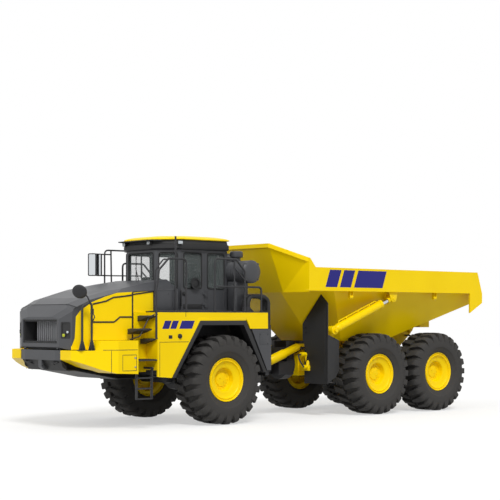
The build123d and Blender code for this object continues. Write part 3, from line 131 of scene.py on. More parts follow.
def enamelLike(name, spec):
    # paint, plastic, rubber and cloth: tone and gloss drift over a metre or so, fine grain as relief
    material, tree, shader, place = newSurface(name)
    broad = addNode(tree, "ShaderNodeTexNoise", None, {"Scale": 1.4, "Detail": 4.0},
                    {"Vector": (place, "Object")})
    tone = addNode(tree, "ShaderNodeMix", {"data_type": "RGBA"}, None, {"Factor": (broad, "Fac")})
    tone.inputs["A"].default_value = linear(spec["colour"])
    tone.inputs["B"].default_value = linear(spec["shade"])
    tree.links.new(tone.outputs["Result"], shader.inputs["Base Color"])
    fine = addNode(tree, "ShaderNodeTexNoise", None, {"Scale": 1000 / spec["pattern"], "Detail": 3.0},
                   {"Vector": (place, "Object")})
    rough, drift = spec["rough"], spec["drift"]
    glossAndGrain(tree, shader, spec, broad, rough - drift, rough + drift, fine, 0.002)
    shader.inputs["Specular IOR Level"].default_value = spec.get("shine", 0.4)
    return material


def metal(name, spec):
    # bare metal: the default IOR, gloss broken by fine marks
    material, tree, shader, place = newSurface(name)
    shader.inputs["Metallic"].default_value = 1.0
    shader.inputs["Base Color"].default_value = linear(spec["colour"])
    grain = addNode(tree, "ShaderNodeTexNoise", None, {"Scale": 1000 / spec["pattern"], "Detail": 2.0},
                    {"Vector": (place, "Object")})
    rough = spec["rough"]
    glossAndGrain(tree, shader, spec, grain, 0.8 * rough, 1.3 * rough, grain, 0.001)
    return material


def glass(name, colour, alpha, rough):
    # toughened safety glass, tinted: thin, so it is drawn as a clear coat over a see-through pane
    material, tree, shader, place = newSurface(name)
    shader.inputs["Base Color"].default_value = linear(colour)
    shader.inputs["Alpha"].default_value = alpha
    shader.inputs["IOR"].default_value = 1.5
    smear = addNode(tree, "ShaderNodeTexNoise", None, {"Scale": 3.0, "Detail": 5.0},
                    {"Vector": (place, "Object")})
    roughRange = addNode(tree, "ShaderNodeMapRange", None, {"To Min": rough, "To Max": rough + 0.05},
                         {"Value": (smear, "Fac")})
    tree.links.new(roughRange.outputs["Result"], shader.inputs["Roughness"])
    return material


materials = {name: enamelLike(name, spec) for name, spec in finishes.items()}
materials.update({name: metal(name, spec) for name, spec in metals.items()})
# colour, how much it hides, roughness
glasses = dict(tintedGlass=("#8D9795", 0.14, 0.03), clearLens=("#DDE4E8", 0.55, 0.05),
               amberLens=("#B9C21C", 0.85, 0.08), redLens=("#B3161B", 0.88, 0.08))
materials.update({name: glass(name, *spec) for name, spec in glasses.items()})
print("materials:", len(materials))

slotFinish = dict(
    yellow_paint="yellowEnamel", grey_paint="greyEnamel", frame_paint="frameEnamel",
    seat_cloth="seatFabric", black_plastic="mouldedPlastic", tyre_rubber="tyreRubber",
    chrome_rod="hardChrome", cast_steel="castIron", window_glass="tintedGlass", hose_rubber="hoseRubber")
for row in frame["record"]["subparts"]:
    node = nodes[row["node"]]
    node.data.materials.clear()
    node.data.materials.append(materials[slotFinish[row["material_slot"]]])

bodyOf = {node: body for body, row in frame["record"]["behaviour"]["bodies"].items() for node in row}
slotOf = {finish: slot for slot, finish in slotFinish.items()}
slotOf.update(indigoFilm="yellow_paint", zincPlate="chrome_rod", silveredGlass="chrome_rod",
              amberLens="window_glass", redLens="window_glass", clearLens="window_glass",
              slatEnamel="black_plastic", treadSteel="frame_paint")


def span(node):
    # middle and size of a node's box, in millimetres
    low, high = (1000 * Vector(corner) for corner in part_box(node))
    return (low + high) / 2, high - low


def asPiece(bm, name, finish, body="front_unit", sharp=38):
    # closes a mesh drawn in millimetres into a piece that rides on a body, flat across edges sharper than
    # sharp, in degrees
    bmesh.ops.scale(bm, vec=(0.001, 0.001, 0.001), verts=bm.verts)
    bmesh.ops.remove_doubles(bm, verts=bm.verts, dist=2e-5)
    bmesh.ops.recalc_face_normals(bm, faces=bm.faces)
    mesh = bpy.data.meshes.new(name)
    bm.to_mesh(mesh)
    bm.free()
    mesh.materials.append(materials[finish])
    for polygon in mesh.polygons:
        polygon.use_smooth = True
    mesh.set_sharp_from_angle(angle=radians(sharp))
    piece = bpy.data.objects.new(name, mesh)
    bpy.context.scene.collection.objects.link(piece)
    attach(piece, body)
    return piece


def at(x, y, z, turn=0.0):
    # a place with its own x and y level, turned about the vertical
    return Matrix.Translation((x, y, z)) @ Matrix.Rotation(radians(turn), 4, "Z")


def along(start, direction):
    # a place at start whose z runs along direction
    return Matrix.Translation(start) @ Vector(direction).to_track_quat("Z", "Y").to_matrix().to_4x4()


def spin(degrees, axis):
    return Matrix.Rotation(radians(degrees), 4, axis)


def sideways(y, x=0, z=0, s=1):
    # a place on an upright lengthwise plane: its x is forward, its y is up, its z is outward on side s
    return Matrix(((1, 0, 0, x), (0, 0, s, y), (0, 1, 0, z), (0, 0, 0, 1)))


def facingFront(x, y=0, z=0):
    # a place on an upright crosswise plane: its x is to the left, its y is up, its z is forward
    return Matrix(((0, 0, 1, x), (1, 0, 0, y), (0, 1, 0, z), (0, 0, 0, 1)))


def mirrorAcross(bm):
    # repeats all that is in the mesh on the machine's other side
    copy = bmesh.ops.duplicate(bm, geom=bm.verts[:] + bm.edges[:] + bm.faces[:])["geom"]
    bmesh.ops.scale(bm, vec=(1, -1, 1), verts=[part for part in copy if isinstance(part, bmesh.types.BMVert)])


def circle(count, radius, turn=0.0):
    # (x, y) of evenly spaced places round a circle
    return [(radius * cos(2 * pi * k / count + turn),
             radius * sin(2 * pi * k / count + turn)) for k in range(count)]


def turned(bm, place, section, steps=48):
    # turns a section of (along, radius) about the place's z
    rings = []
    for rise, radius in section:
        count = steps if radius > 1e-6 else 1
        rings.append([bm.verts.new(place @ Vector((x, y, rise))) for x, y in circle(steps, radius)[:count]])
    for lower, upper in zip(rings, rings[1:]):
        for k in range(steps):
            n = (k + 1) % steps
            corners = (lower[k % len(lower)], lower[n % len(lower)], upper[n % len(upper)],
                       upper[k % len(upper)])
            corners = list(dict.fromkeys(corners))
            if len(corners) > 2:
                bm.faces.new(corners)


def bevelled(bm, faces, width, segments):
    edges = list({edge for face in faces for edge in face.edges})
    bmesh.ops.bevel(bm, geom=edges, offset=width, segments=segments, profile=0.5, affect="EDGES",
                    clamp_overlap=True)


def prism(bm, place, outline, depth, bevel=0.0, segments=2):
    # an outline of (x, y) in the place's plane, pushed depth along its z, with rounded edges
    low = [bm.verts.new(place @ Vector((x, y, 0))) for x, y in outline]
    high = [bm.verts.new(place @ Vector((x, y, depth))) for x, y in outline]
    faces = [bm.faces.new(low[::-1]), bm.faces.new(high)]
    for k in range(len(low)):
        n = (k + 1) % len(low)
        faces.append(bm.faces.new((low[k], low[n], high[n], high[k])))
    if bevel:
        bevelled(bm, faces, bevel, segments)


def slab(bm, place, width, height, depth, bevel=0.0, segments=2):
    # a rectangle about the place's origin, pushed along its z
    w, h = width / 2, height / 2
    prism(bm, place, ((-w, -h), (w, -h), (w, h), (-w, h)), depth, bevel, segments)


def roundedRect(width, height, radius, steps=5):
    # corner by corner, as a list of (x, y)
    points = []
    for k, (sx, sy) in enumerate(((1, 1), (-1, 1), (-1, -1), (1, -1))):
        for j in range(steps + 1):
            a = pi / 2 * (k + j / steps)
            points.append((sx * (width / 2 - radius) + radius * cos(a),
                           sy * (height / 2 - radius) + radius * sin(a)))
    return points


def block(bm, place, width, height, corner, depth, bevel, steps=3):
    # a slab whose upright corners are rounded to a radius
    prism(bm, place, roundedRect(width, height, corner, steps), depth, bevel)


def ringPlate(bm, place, outer, inner, depth):
    # a plate between two outlines of as many points, with closed edges
    loops = []
    for outline, rise in ((outer, 0), (outer, depth), (inner, depth), (inner, 0)):
        loops.append([bm.verts.new(place @ Vector((x, y, rise))) for x, y in outline])
    for lower, upper in zip(loops, loops[1:] + loops[:1]):
        for k in range(len(outer)):
            n = (k + 1) % len(outer)
            bm.faces.new((lower[k], lower[n], upper[n], upper[k]))


def rounded(points, bend, steps=5):
    # a run of points with its corners rounded to a bend
    points = [Vector(point) for point in points]
    path = [points[0]]
    for before, corner, after in zip(points, points[1:], points[2:]):
        back, ahead = before - corner, after - corner
        reach = min(bend / max(tan(back.angle(ahead) / 2), 1e-3), 0.48 * back.length, 0.48 * ahead.length)
        start, end = corner + back.normalized() * reach, corner + ahead.normalized() * reach
        for j in range(steps + 1):
            t = j / steps
            path.append(start * (1 - t) ** 2 + corner * 2 * t * (1 - t) + end * t * t)
    return path + [points[-1]]


def tube(bm, path, radius, sides=12):
    # a round bar or pipe along a path, closed at both ends
    path = [Vector(point) for point in path]
    side, rings = None, []
    for k, point in enumerate(path):
        ahead = (path[min(k + 1, len(path) - 1)] - path[max(k - 1, 0)]).normalized()
        side = (side - ahead * side.dot(ahead)).normalized() if side else ahead.orthogonal().normalized()
        across = ahead.cross(side)
        rings.append([bm.verts.new(point + x * side + y * across) for x, y in circle(sides, radius)])
    for lower, upper in zip(rings, rings[1:]):
        for j in range(sides):
            n = (j + 1) % sides
            bm.faces.new((lower[j], lower[n], upper[n], upper[j]))
    bm.faces.new(rings[0][::-1])
    bm.faces.new(rings[-1])


def pipe(bm, points, bend, radius, sides=12, steps=5):
    # a round bar or pipe with bent corners
    tube(bm, rounded(points, bend, steps), radius, sides)


def loop(bm, corners, bend, radius, sides=8):
    # a round bar bent into a closed loop
    corners = [Vector(corner) for corner in corners]
    start = (corners[0] + corners[-1]) / 2
    pipe(bm, [start] + corners + [start], bend, radius, sides, 4)


def loft(bm, rings):
    # skins closed rings of as many points and closes both ends
    rows = [[bm.verts.new(point) for point in ring] for ring in rings]
    for lower, upper in zip(rows, rows[1:]):
        for k in range(len(lower)):
            n = (k + 1) % len(lower)
            bm.faces.new((lower[k], lower[n], upper[n], upper[k]))
    bm.faces.new(rows[0][::-1])
    bm.faces.new(rows[-1])


def bolt(bm, place, size):
    # washer and hexagon head with a chamfered top, size across the flats
    turned(bm, place, ((0, 0), (0, 0.95 * size), (0.14 * size, 0.95 * size), (0.14 * size, 0)), 14)
    turned(bm, place, ((0.12 * size, 0), (0.12 * size, 0.577 * size), (0.62 * size, 0.577 * size),
                       (0.74 * size, 0.48 * size), (0.74 * size, 0)), 6)


def boltsOn(bm, y, size, places):
    # bolts at (x, z) on an upright lengthwise plane
    for x, z in places:
        bolt(bm, sideways(y, x, z), size)


def edgeAt(plan, x):
    # half width at x of a plan given as (x, half width) from rear to front
    for (rear, rearY), (front, frontY) in zip(plan, plan[1:]):
        if x <= front:
            return rearY + (frontY - rearY) * (x - rear) / (front - rear)
    return plan[-1][1]


# datum planes of the machine that its trim is set out from
deckTop = 2370
fenderSide = 1650
cabSide = 950


# wheels: cross-ply earthmover tyre, three-part rim with its lock ring, hub with planetary cover

# a place at the wheel's middle whose z is the axle's, outward
outward = Matrix(((1, 0, 0, 0), (0, 0, 1, 0), (0, -1, 0, 0), (0, 0, 0, 1)))
# the two outlines are (distance from the middle, radius), bead to crown and back to front
# a lug is turned by shoulderLag radians at its crown end; the turn dies away between the lagEnds
tyre = dict(steps=144, lugs=24, shoulderLag=0.075, lagEnds=(20, 250),
            halfLug=(44, 58, 62, 65, 65, 61, 56, 50))
carcass = ((235, 435.5), (262, 437), (267, 459), (286, 468), (304, 492), (334, 545),
           (352, 588), (357.5, 592), (362.5, 612), (367.5, 660), (368.5, 715), (363.5, 762),
           (350, 800), (330, 832), (295, 850), (235, 860), (120, 867), (0, 868))
# each station of a lug: distance from the middle, foot radius inside the carcass, tip radius
lugStations = ((18, 855, 936.5), (125, 853, 937.2), (245, 844, 934), (305, 835, 925.5),
               (347, 802, 898), (370.5, 776, 856), (373.5, 756, 805), (371.5, 738, 752))


def treadLug(bm, s, turn):
    rings = []
    lagFrom, lagTo = tyre["lagEnds"]
    for (y, foot, tip), half in zip(lugStations, tyre["halfLug"]):
        middle = turn + tyre["shoulderLag"] * min(1, max(0, (lagTo - y) / (lagTo - lagFrom)))
        corner = []
        for radius, grow in ((foot, 1.18), (tip - 6, 1.0), (tip, 0.86), (tip, -0.86), (tip - 6, -1.0),
                             (foot, -1.18)):
            a = middle + grow * half / tip
            corner.append(bm.verts.new((radius * sin(a), s * y, radius * cos(a))))
        rings.append(corner)
    for near, far in zip(rings, rings[1:]):
        for k in range(5):
            bm.faces.new((near[k], near[k + 1], far[k + 1], far[k]))
    bm.faces.new(rings[0][::-1])
    bm.faces.new(rings[-1])


def tyreMesh():
    bm = bmesh.new()
    section = list(carcass) + [(-y, r) for y, r in reversed(carcass[:-1])]
    turned(bm, outward, section + section[:1], tyre["steps"])
    bmesh.ops.remove_doubles(bm, verts=bm.verts, dist=0.02)
    pitch = 2 * pi / tyre["lugs"]
    for k in range(tyre["lugs"]):
        treadLug(bm, 1, k * pitch)
        treadLug(bm, -1, (k + 0.5) * pitch)
    return bm


rim = dict(steps=96, studs=16, studCircle=182, coverBolts=8, coverCircle=122)
# distance outward from the middle, radius, from the axle round the outer side to the inner side
rimSection = ((-118, 85), (-118, 196), (-32, 200), (-28, 325), (-225, 330), (-238, 345),
              (-245, 420), (-268, 428), (-285, 440), (-292, 450), (-285, 457.5), (-268, 453.5),
              (-262, 435), (262, 435), (268, 453.5), (285, 457.5), (293, 450), (286, 440),
              (266, 430), (262, 412), (274.5, 407), (276.5, 395), (266, 390), (252, 386),
              (240, 372), (226, 345), (214, 300), (207, 262), (198, 249.5), (186, 245.5),
              (112, 226), (98, 220), (94, 208), (94, 152), (100, 146), (112, 142),
              (117, 100), (121, 60), (122, 0))


def rimMesh():
    bm = bmesh.new()
    turned(bm, outward, rimSection, rim["steps"])
    bmesh.ops.remove_doubles(bm, verts=bm.verts, dist=0.02)
    for x, z in circle(rim["studs"], rim["studCircle"]):
        bolt(bm, at(x, 93, z) @ outward, 22)
    for x, z in circle(rim["coverBolts"], rim["coverCircle"]):
        bolt(bm, at(x, 113, z) @ outward, 14)
    # filler and drain plugs on the cover, tyre valve by the lock ring
    for x, z in circle(2, 62, 0.6):
        bolt(bm, at(x, 118, z) @ outward, 24)
    pipe(bm, ((0, 205, 312), (0, 236, 330), (0, 246, 362)), 12, 6, 8)
    return bm


for axleName in ("front", "mid", "rear"):
    for sideName, turn in (("left", 0), ("right", 180)):
        hub = span(f"tyre_{axleName}_{sideName}")[0]
        for kind, build, finish, sharp in (("tyre", tyreMesh, "tyreRubber", 32),
                                           ("rim", rimMesh, "yellowEnamel", 30)):
            node = f"{kind}_{axleName}_{sideName}"
            bm = build()
            bmesh.ops.transform(bm, matrix=at(*hub, turn), verts=bm.verts)
            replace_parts(asPiece(bm, node + "_dressed", finish, bodyOf[node], sharp), node)
print("wheels: 6")

# nose: slatted grille in a moulded frame, lamp units in the slanted corners

grille = dict(border=36, inset=60, duct=235, slats=14, bank=1080, slatWidth=40, slatDepth=36,
              slatTurn=-12)
grilleMid, grilleSize = span("grille")
wide, tall, duct = grilleSize.y, grilleSize.z, grille["duct"]
innerWide, innerTall = wide - 2 * grille["border"], tall - 2 * grille["border"]
nose = facingFront(grilleMid.x + grilleSize.x / 2 - grille["inset"], 0, grilleMid.z)

# frame, its raised rim, and the duct: where each starts, its depth, its outline and its opening
bm = bmesh.new()
for start, depth, outer, inner in (
        (0, 56, (wide, tall, 40), (innerWide, innerTall, 28)),
        (0, 64, (wide - 20, tall - 20, 36), (innerWide + 30, innerTall + 30, 30)),
        (-duct, duct + 4, (innerWide + 24, innerTall + 24, 30), (innerWide, innerTall, 28))):
    ringPlate(bm, nose @ at(0, 0, start), roundedRect(*outer), roundedRect(*inner), depth)
slab(bm, nose @ at(0, 0, -duct - 4), innerWide + 20, innerTall + 20, 4)
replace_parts(asPiece(bm, "grilleFrame", "mouldedPlastic", "hood"), "grille")
# upright slats deep in the duct, their grey lightened as painted light against the duct's shade
bm = bmesh.new()
for k in range(grille["slats"]):
    y = (k - (grille["slats"] - 1) / 2) * grille["bank"] / grille["slats"]
    slab(bm, nose @ at(y, 0, 12 - duct) @ spin(grille["slatTurn"], "Y"), grille["slatWidth"], innerTall,
         grille["slatDepth"], 4)
asPiece(bm, "grilleSlats", "slatEnamel", "hood")
# rubber apron between the nose and the bumper
apron = dict(x=5770, z=1640, width=1180, height=75, thick=22)
bm = bmesh.new()
slab(bm, facingFront(apron["x"], 0, apron["z"]), apron["width"], apron["height"], apron["thick"], 6)
asPiece(bm, "noseApron", "hoseRubber", "hood")

# two small round units low in each smoked recess: (x, y, radius, glass)
lamps = dict(width=189, height=299, turn=25.3,
             units=((-40, -98, 34, "amberLens"), (48, -36, 26, "clearLens")))
lampMid, lampSize = span("headlamps")
lampY = lampSize.y / 2 - lamps["width"] * cos(radians(lamps["turn"])) / 2
bezels, bowls, lenses = bmesh.new(), bmesh.new(), dict(amberLens=bmesh.new(), clearLens=bmesh.new())
for s in (1, -1):
    face = at(lampMid.x, s * lampY, lampMid.z, s * lamps["turn"]) @ facingFront(0)
    ringPlate(bezels, face @ at(0, 0, 4), roundedRect(lamps["width"] + 30, lamps["height"] + 30, 30),
              roundedRect(lamps["width"] - 20, lamps["height"] - 20, 22), 18)
    for x, y, r, lens in lamps["units"]:
        spot = face @ at(s * x, y, 10)
        turned(bezels, spot, ((0, r + 10), (20, r + 10), (23, r + 6), (21, r), (4, r),
                              (0, r + 10)), 32)
        turned(bowls, spot, ((2, 0), (3, 0.4 * r), (8, 0.75 * r), (16, r), (14, r),
                             (0, 0.4 * r), (0, 0)), 32)
        turned(lenses[lens], spot, ((17, r), (21, 0.8 * r), (24, 0.4 * r), (25, 0), (22, 0),
                                    (14, r), (17, r)), 32)
asPiece(bezels, "lampBezels", "mouldedPlastic", "hood")
asPiece(bowls, "lampBowls", "hardChrome", "hood")
for lens, bm in lenses.items():
    asPiece(bm, "lampGlasses_" + lens, lens, "hood")
print("nose dressed")

# side covers: rubber seals follow the panels' joints, each a body and a line of (x, z)

hoodPlan = ((3355, 1290), (3900, 1288), (4800, 1150), (5335, 1054), (5640, 998), (5725, 975))
seal = dict(radius=16, proud=2)
sealLines = dict(
    coverCrease=("hood", ((5330, 2146), (4846, 2146), (4715, 2246), (4434, 2246))),
    coverTop=("hood", ((5300, 2500), (5020, 2560), (4860, 2635), (4600, 2665), (4434, 2690))),
    coverRear=("hood", ((4440, 1790), (4440, 2745))),
    wallTop=("front_unit", ((4428, 2700), (3980, 2765))),
    wallFront=("front_unit", ((3962, 2370), (3962, 2780))),
)
for name, (body, line) in sealLines.items():
    bm = bmesh.new()
    points = []
    for (x, z), (nextX, nextZ) in zip(line, line[1:]):
        # a stop wherever the hood's side changes its slant; an upright line has only its ends
        stops = [x] + sorted((p[0] for p in hoodPlan if min(x, nextX) < p[0] < max(x, nextX)),
                             reverse=x > nextX)
        rise = (nextZ - z) / (nextX - x) if nextX != x else 0
        points += [(stop, z + rise * (stop - x)) for stop in stops]
    tube(bm, [(x, edgeAt(hoodPlan, x) + seal["proud"], z) for x, z in points + [line[-1]]],
         seal["radius"], 8)
    mirrorAcross(bm)
    asPiece(bm, name + "Seal", "hoseRubber", body)
print("seals laid")

# indigo film: three leaning shapes on each bed rail and each fender, no lettering

film = dict(thick=1.5, sunk=0.5)
# body, side plane, (rear, front) of each shape at its foot, height of foot and top, lean of the ends
filmRows = dict(
    railFilm=("bed", 1700, ((-820, -460), (-1255, -905), (-2285, -1355)), 2915, 3302, 140),
    fenderFilm=("front_unit", fenderSide, ((3862, 4030), (3680, 3830), (3270, 3600)), 2008, 2172, 72),
)
for name, (body, y, shapes, low, high, lean) in filmRows.items():
    bm = bmesh.new()
    for rear, front in shapes:
        corners = ((rear, low), (front, low), (front - lean, high), (rear - lean, high))
        prism(bm, sideways(y - film["sunk"]), corners, film["thick"])
    mirrorAcross(bm)
    asPiece(bm, name, "indigoFilm", body)
print("film laid")

# cab: window rubbers, roof cap over its dark band, work lamps, wiper, door furniture, seat, wheel, dash

cab = dict(low=2850, high=3600, rubber=14, bend=60)
# both ends of each window, as (x, y) on the wall's outer face
windows = dict(
    front_unit=(((3354, -440), (3354, 440)), ((1751, -750), (1751, 750)),
                ((1840, 954), (2300, 954)), ((1840, -954), (2300, -954)), ((2400, -954), (2950, -954)),
                ((3310, 579), (3066, 897)), ((3310, -579), (3066, -897))),
    door=(((2460, 954), (2940, 954)),))
for body, rows in windows.items():
    bm = bmesh.new()
    for (x, y), (endX, endY) in rows:
        loop(bm, ((x, y, cab["low"]), (endX, endY, cab["low"]), (endX, endY, cab["high"]),
                  (x, y, cab["high"])),
             cab["bend"], cab["rubber"])
    asPiece(bm, f"{body}WindowRubber", "hoseRubber", body)

# roof corners on the left as (x, y); the band and the cap are rings of (height, growth of the plan)
roof = dict(
    plan=((3435, 480), (3060, 1030), (1740, 1030)), bend=70, middleX=2400, frontSlant=0.45,
    band=((3662, -30), (3668, -12), (3690, 0), (3775, 0), (3790, -20), (3868, -34)),
    cap=((3866, -12), (3872, 6), (3886, 8), (3905, -12), (3928, -85), (3948, -190),
         (3964, -330), (3975, -520), (3980, -720)),
    visor=((3300, -700), (3545, -560), (3560, -500), (3560, 500), (3545, 560), (3300, 700)))


def roofRing(z, grow):
    # the roof's plan at a height, moved out by grow; the front corners move out less sideways
    half = [(x + (grow if x > roof["middleX"] else -grow),
             y + grow * (roof["frontSlant"] if y < 700 else 1.0), 0)
            for x, y in roof["plan"]]
    rim = rounded([(half[0][0], 0, 0)] + half + [(half[-1][0], 0, 0)], roof["bend"], 4)
    return [(p.x, p.y, z) for p in rim] + [(p.x, -p.y, z) for p in reversed(rim[1:-1])]


bm = bmesh.new()
loft(bm, [roofRing(z, grow) for z, grow in roof["band"]])
prism(bm, at(0, 0, 3842), roof["visor"], 20, 6)
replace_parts(asPiece(bm, "roofBand", "mouldedPlastic", sharp=30), "cab_fittings")
bm = bmesh.new()
loft(bm, [roofRing(z, grow) for z, grow in roof["cap"]])
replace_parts(asPiece(bm, "roofCap", "yellowEnamel", sharp=50), "cab_roof")

# work lamps under the roof's edge: (x, y, turn)
roofLamp = dict(z=3800, housing=(115, 80, 18, 3), pane=(95, 62, 14, 3), stem=12,
                places=((3452, 440, 0), (3452, -440, 0), (3090, 1028, 62)))
lampBodies, lampGlasses = bmesh.new(), bmesh.new()
for x, y, turn in roofLamp["places"]:
    place = at(x, y, roofLamp["z"], turn) @ facingFront(0)
    prism(lampBodies, place @ at(0, 0, -30), roundedRect(*roofLamp["housing"]), 58, 6)
    prism(lampGlasses, place @ at(0, 0, 29), roundedRect(*roofLamp["pane"]), 6, 2)
    tube(lampBodies, ((x - 20, y, 3835), (x - 20, y, 3850)), roofLamp["stem"])
asPiece(lampBodies, "roofLamps", "mouldedPlastic")
asPiece(lampGlasses, "roofLampGlasses", "clearLens")

# grab handles by the doors, wiper with its arm and motor cap, aerial stub
bm = bmesh.new()
pipe(bm, ((3020, 952, 2480), (3050, 1010, 2480), (3050, 1010, 2800), (3020, 952, 2800)), 40, 13)
mirrorAcross(bm)
wiper = dict(bar=9, blade=((3366, -150, 2980), (3366, -150, 3560)),
             arm=((3372, 60, 2835), (3392, 30, 2880), (3378, -150, 3290)))
pipe(bm, wiper["arm"], 30, wiper["bar"])
tube(bm, wiper["blade"], wiper["bar"], 8)
slab(bm, at(3370, -150, 3290) @ spin(-4, "X"), 14, 22, 10)
turned(bm, at(3372, 60, 2800), ((0, 0), (0, 30), (45, 26), (50, 0)), 20)
turned(bm, at(2250, -620, 3930), ((0, 0), (0, 22), (20, 20), (46, 6), (48, 0)), 16)
asPiece(bm, "wiperAndGrips", "mouldedPlastic")

# door: recessed latch and pull, kick plate, round blind-spot mirror on its stub
doorTrim = dict(latch=(2915, 2735), kick=(2700, 2470), mirror=(2670, 2952), pull=992)
bm = bmesh.new()
block(bm, sideways(950.5, *doorTrim["latch"]), 120, 85, 20, 12, 3, steps=4)
block(bm, sideways(950.5, *doorTrim["kick"]), 520, 100, 20, 6, 2)
pipe(bm, ((2870, 962, 2735), (2880, doorTrim["pull"], 2735), (2950, doorTrim["pull"], 2735),
          (2958, 962, 2735)), 20, 10)
x, z = doorTrim["mirror"]
tube(bm, ((x, 952, z), (x, 1004, z)), 18)
ringPlate(bm, sideways(998, x, z), circle(40, 122), circle(40, 86), 30)
turned(bm, sideways(1000, x, z), ((0, 0), (0, 88), (8, 86), (16, 60), (20, 30), (21, 0)), 40)
asPiece(bm, "doorFurniture", "mouldedPlastic", "door", 30)

# cab tub: pressed swages and rivets low on both sides
bm = bmesh.new()
for x in (1860, 2080, 2290):
    tube(bm, ((x, cabSide + 1, 2400), (x, cabSide + 1, 2800)), 7, 8)
boltsOn(bm, cabSide, 18, ((1800, 2400), (1800, 2790), (2330, 2790), (1800, 2600)))
mirrorAcross(bm)
asPiece(bm, "cabSwages", "greyEnamel")

# cushions: cells across, how round the seam's edge is, drawn-in corners, sewn channels, underside's crown
stuffing = dict(cells=26, edge=0.34, pinch=0.126, channelDeep=16, channelHalf=0.05, under=0.2)


def cushion(name, place, width, height, depth, crown, channels=()):
    # a stuffed form: crowned faces, sides drawn in to a piped seam, sewn channels across its height
    bm = bmesh.new()
    cells = stuffing["cells"]
    for face in (1, -1):
        rows = []
        for j in range(cells + 1):
            v = 2 * j / cells - 1
            row = []
            for i in range(cells + 1):
                u = 2 * i / cells - 1
                edge = (1 - abs(u) ** 4) * (1 - abs(v) ** 4)
                pinch = 1 - stuffing["pinch"] * (abs(u) * abs(v)) ** 6
                swell = crown * (1 - u * u) * (1 - v * v) * (1 if face > 0 else stuffing["under"])
                rise = depth / 2 * edge ** stuffing["edge"] + swell
                for channel in channels:
                    near = max(0, 1 - abs(v - channel) / stuffing["channelHalf"])
                    rise -= stuffing["channelDeep"] * near ** 2 * edge
                spot = place @ Vector((u * width / 2 * pinch, v * height / 2 * pinch, face * rise))
                row.append(bm.verts.new(spot))
            rows.append(row)
        for near, far in zip(rows, rows[1:]):
            for i in range(cells):
                bm.faces.new((near[i], near[i + 1], far[i + 1], far[i]))
    bmesh.ops.remove_doubles(bm, verts=bm.verts, dist=0.4)
    piece = asPiece(bm, name, "seatFabric", sharp=70)
    return piece


# seat: pan on a rubber bellows, posts for the back and the head rest, then its five cushions
bm = bmesh.new()
block(bm, at(2250, 0, 2395), 420, 400, 50, 90, 12, steps=5)
turned(bm, at(2250, 0, 2485), [(18 * k, 185 - 22 * (k % 2)) for k in range(12)], 28)
block(bm, at(2260, 0, 2680), 460, 440, 60, 35, 12, steps=5)
for y in (160, -160):
    tube(bm, ((2035, y, 2700), (1945, y, 3130)), 16)
for y in (60, -60):
    tube(bm, ((1965, y, 3160), (1948, y, 3280)), 9)
seatBase = asPiece(bm, "seatBase", "mouldedPlastic")
lean = spin(90, "Z") @ spin(78, "X")
seatPad = cushion("seatPad", at(2285, 0, 2765) @ spin(-4, "Y"), 500, 500, 95, 14, (-0.45, 0.45))
cushion("seatBack", at(2010, 0, 3010) @ lean, 480, 500, 80, 12, (-0.35, 0.15))
cushion("headRest", at(1972, 0, 3345) @ lean, 270, 150, 70, 8)
for name, y in (("armRestLeft", 285), ("armRestRight", -285)):
    cushion(name, at(2200, y, 2985), 340, 70, 45, 4)
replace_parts(seatPad, "seat")
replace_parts(seatBase, "seat")

# dashboard: its section as (x from the screen, z), sunk and drawn back towards both ends
dash = dict(x=3290, half=460, stations=8, drawnBack=60, sunk=50,
            section=((0, 2400), (0, 2830), (-150, 2905), (-270, 2915), (-375, 2885), (-395, 2790),
                     (-330, 2770), (-215, 2400)))
bm, rings = bmesh.new(), []
for k in range(-dash["stations"], dash["stations"] + 1):
    end = abs(k / dash["stations"]) ** 3
    rings.append([(dash["x"] + dx - dash["drawnBack"] * end, dash["half"] * k / dash["stations"],
                   z - dash["sunk"] * end * (z > 2600)) for dx, z in dash["section"]])
loft(bm, rings)
# steering wheel, its hub, spokes and column
steering = dict(middle=(2800, 0, 2960), axis=(-1, 0, 1.4), radius=205, rim=16, spoke=11)
wheel = along(steering["middle"], steering["axis"])
rim = [wheel @ Vector((x, y, 0)) for x, y in circle(48, steering["radius"])]
tube(bm, rim + rim[:2], steering["rim"])
for x, y in circle(3, 200, radians(90)):
    tube(bm, (steering["middle"], wheel @ Vector((x, y, 0))), steering["spoke"], 8)
turned(bm, wheel, ((-30, 0), (-30, 42), (10, 50), (24, 36), (26, 0)), 28)
turned(bm, wheel @ at(0, 0, -260), ((0, 0), (0, 58), (130, 46), (240, 34), (240, 0)), 24)
# pedals, display on its arm
for y in (-160, 140):
    slab(bm, at(2960, y, 2440) @ spin(-38, "Y"), 200, 90, 20, 6)
block(bm, at(2985, -300, 3020) @ spin(-68, "Y"), 170, 240, 20, 30, 5, steps=5)
pipe(bm, ((3060, -300, 2880), (3040, -300, 2960), (3000, -300, 3015)), 30, 14)
# console with its two levers beside the seat
console = dict(x=2330, y=-480, size=(620, 220, 50), height=420, levers=(2430, 2520))
y = console["y"]
prism(bm, at(console["x"], y, 2400), roundedRect(*console["size"]), console["height"], 20)
for x in console["levers"]:
    pipe(bm, ((x, y, 2815), (x + 10, y, 2900), (x + 35, y, 2955)), 30, 9)
    turned(bm, at(x + 35, y, 2945), ((0, 0), (4, 16), (28, 22), (44, 14), (48, 0)), 16)
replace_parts(asPiece(bm, "dashAndWheel", "mouldedPlastic", sharp=40), "dashboard")
print("cab dressed")

# handrails and mirrors in round tube, stairs with their treads and hanging ladder

# lines are (x, z) in the rail's plane
rail = dict(y=1638, radius=21, thin=17, foot=38,
            guards=(((2660, deckTop), (2660, 3455), (2080, 3455), (1840, 3210), (1840, deckTop)),
                    ((2660, 2880), (1380, 2880), (1380, deckTop))),
            grabLeft=((4168, 1800), (4168, 2760), (4100, 3190), (3860, 3425), (3410, 3425),
                      (3410, deckTop)))
footZ = deckTop - 5


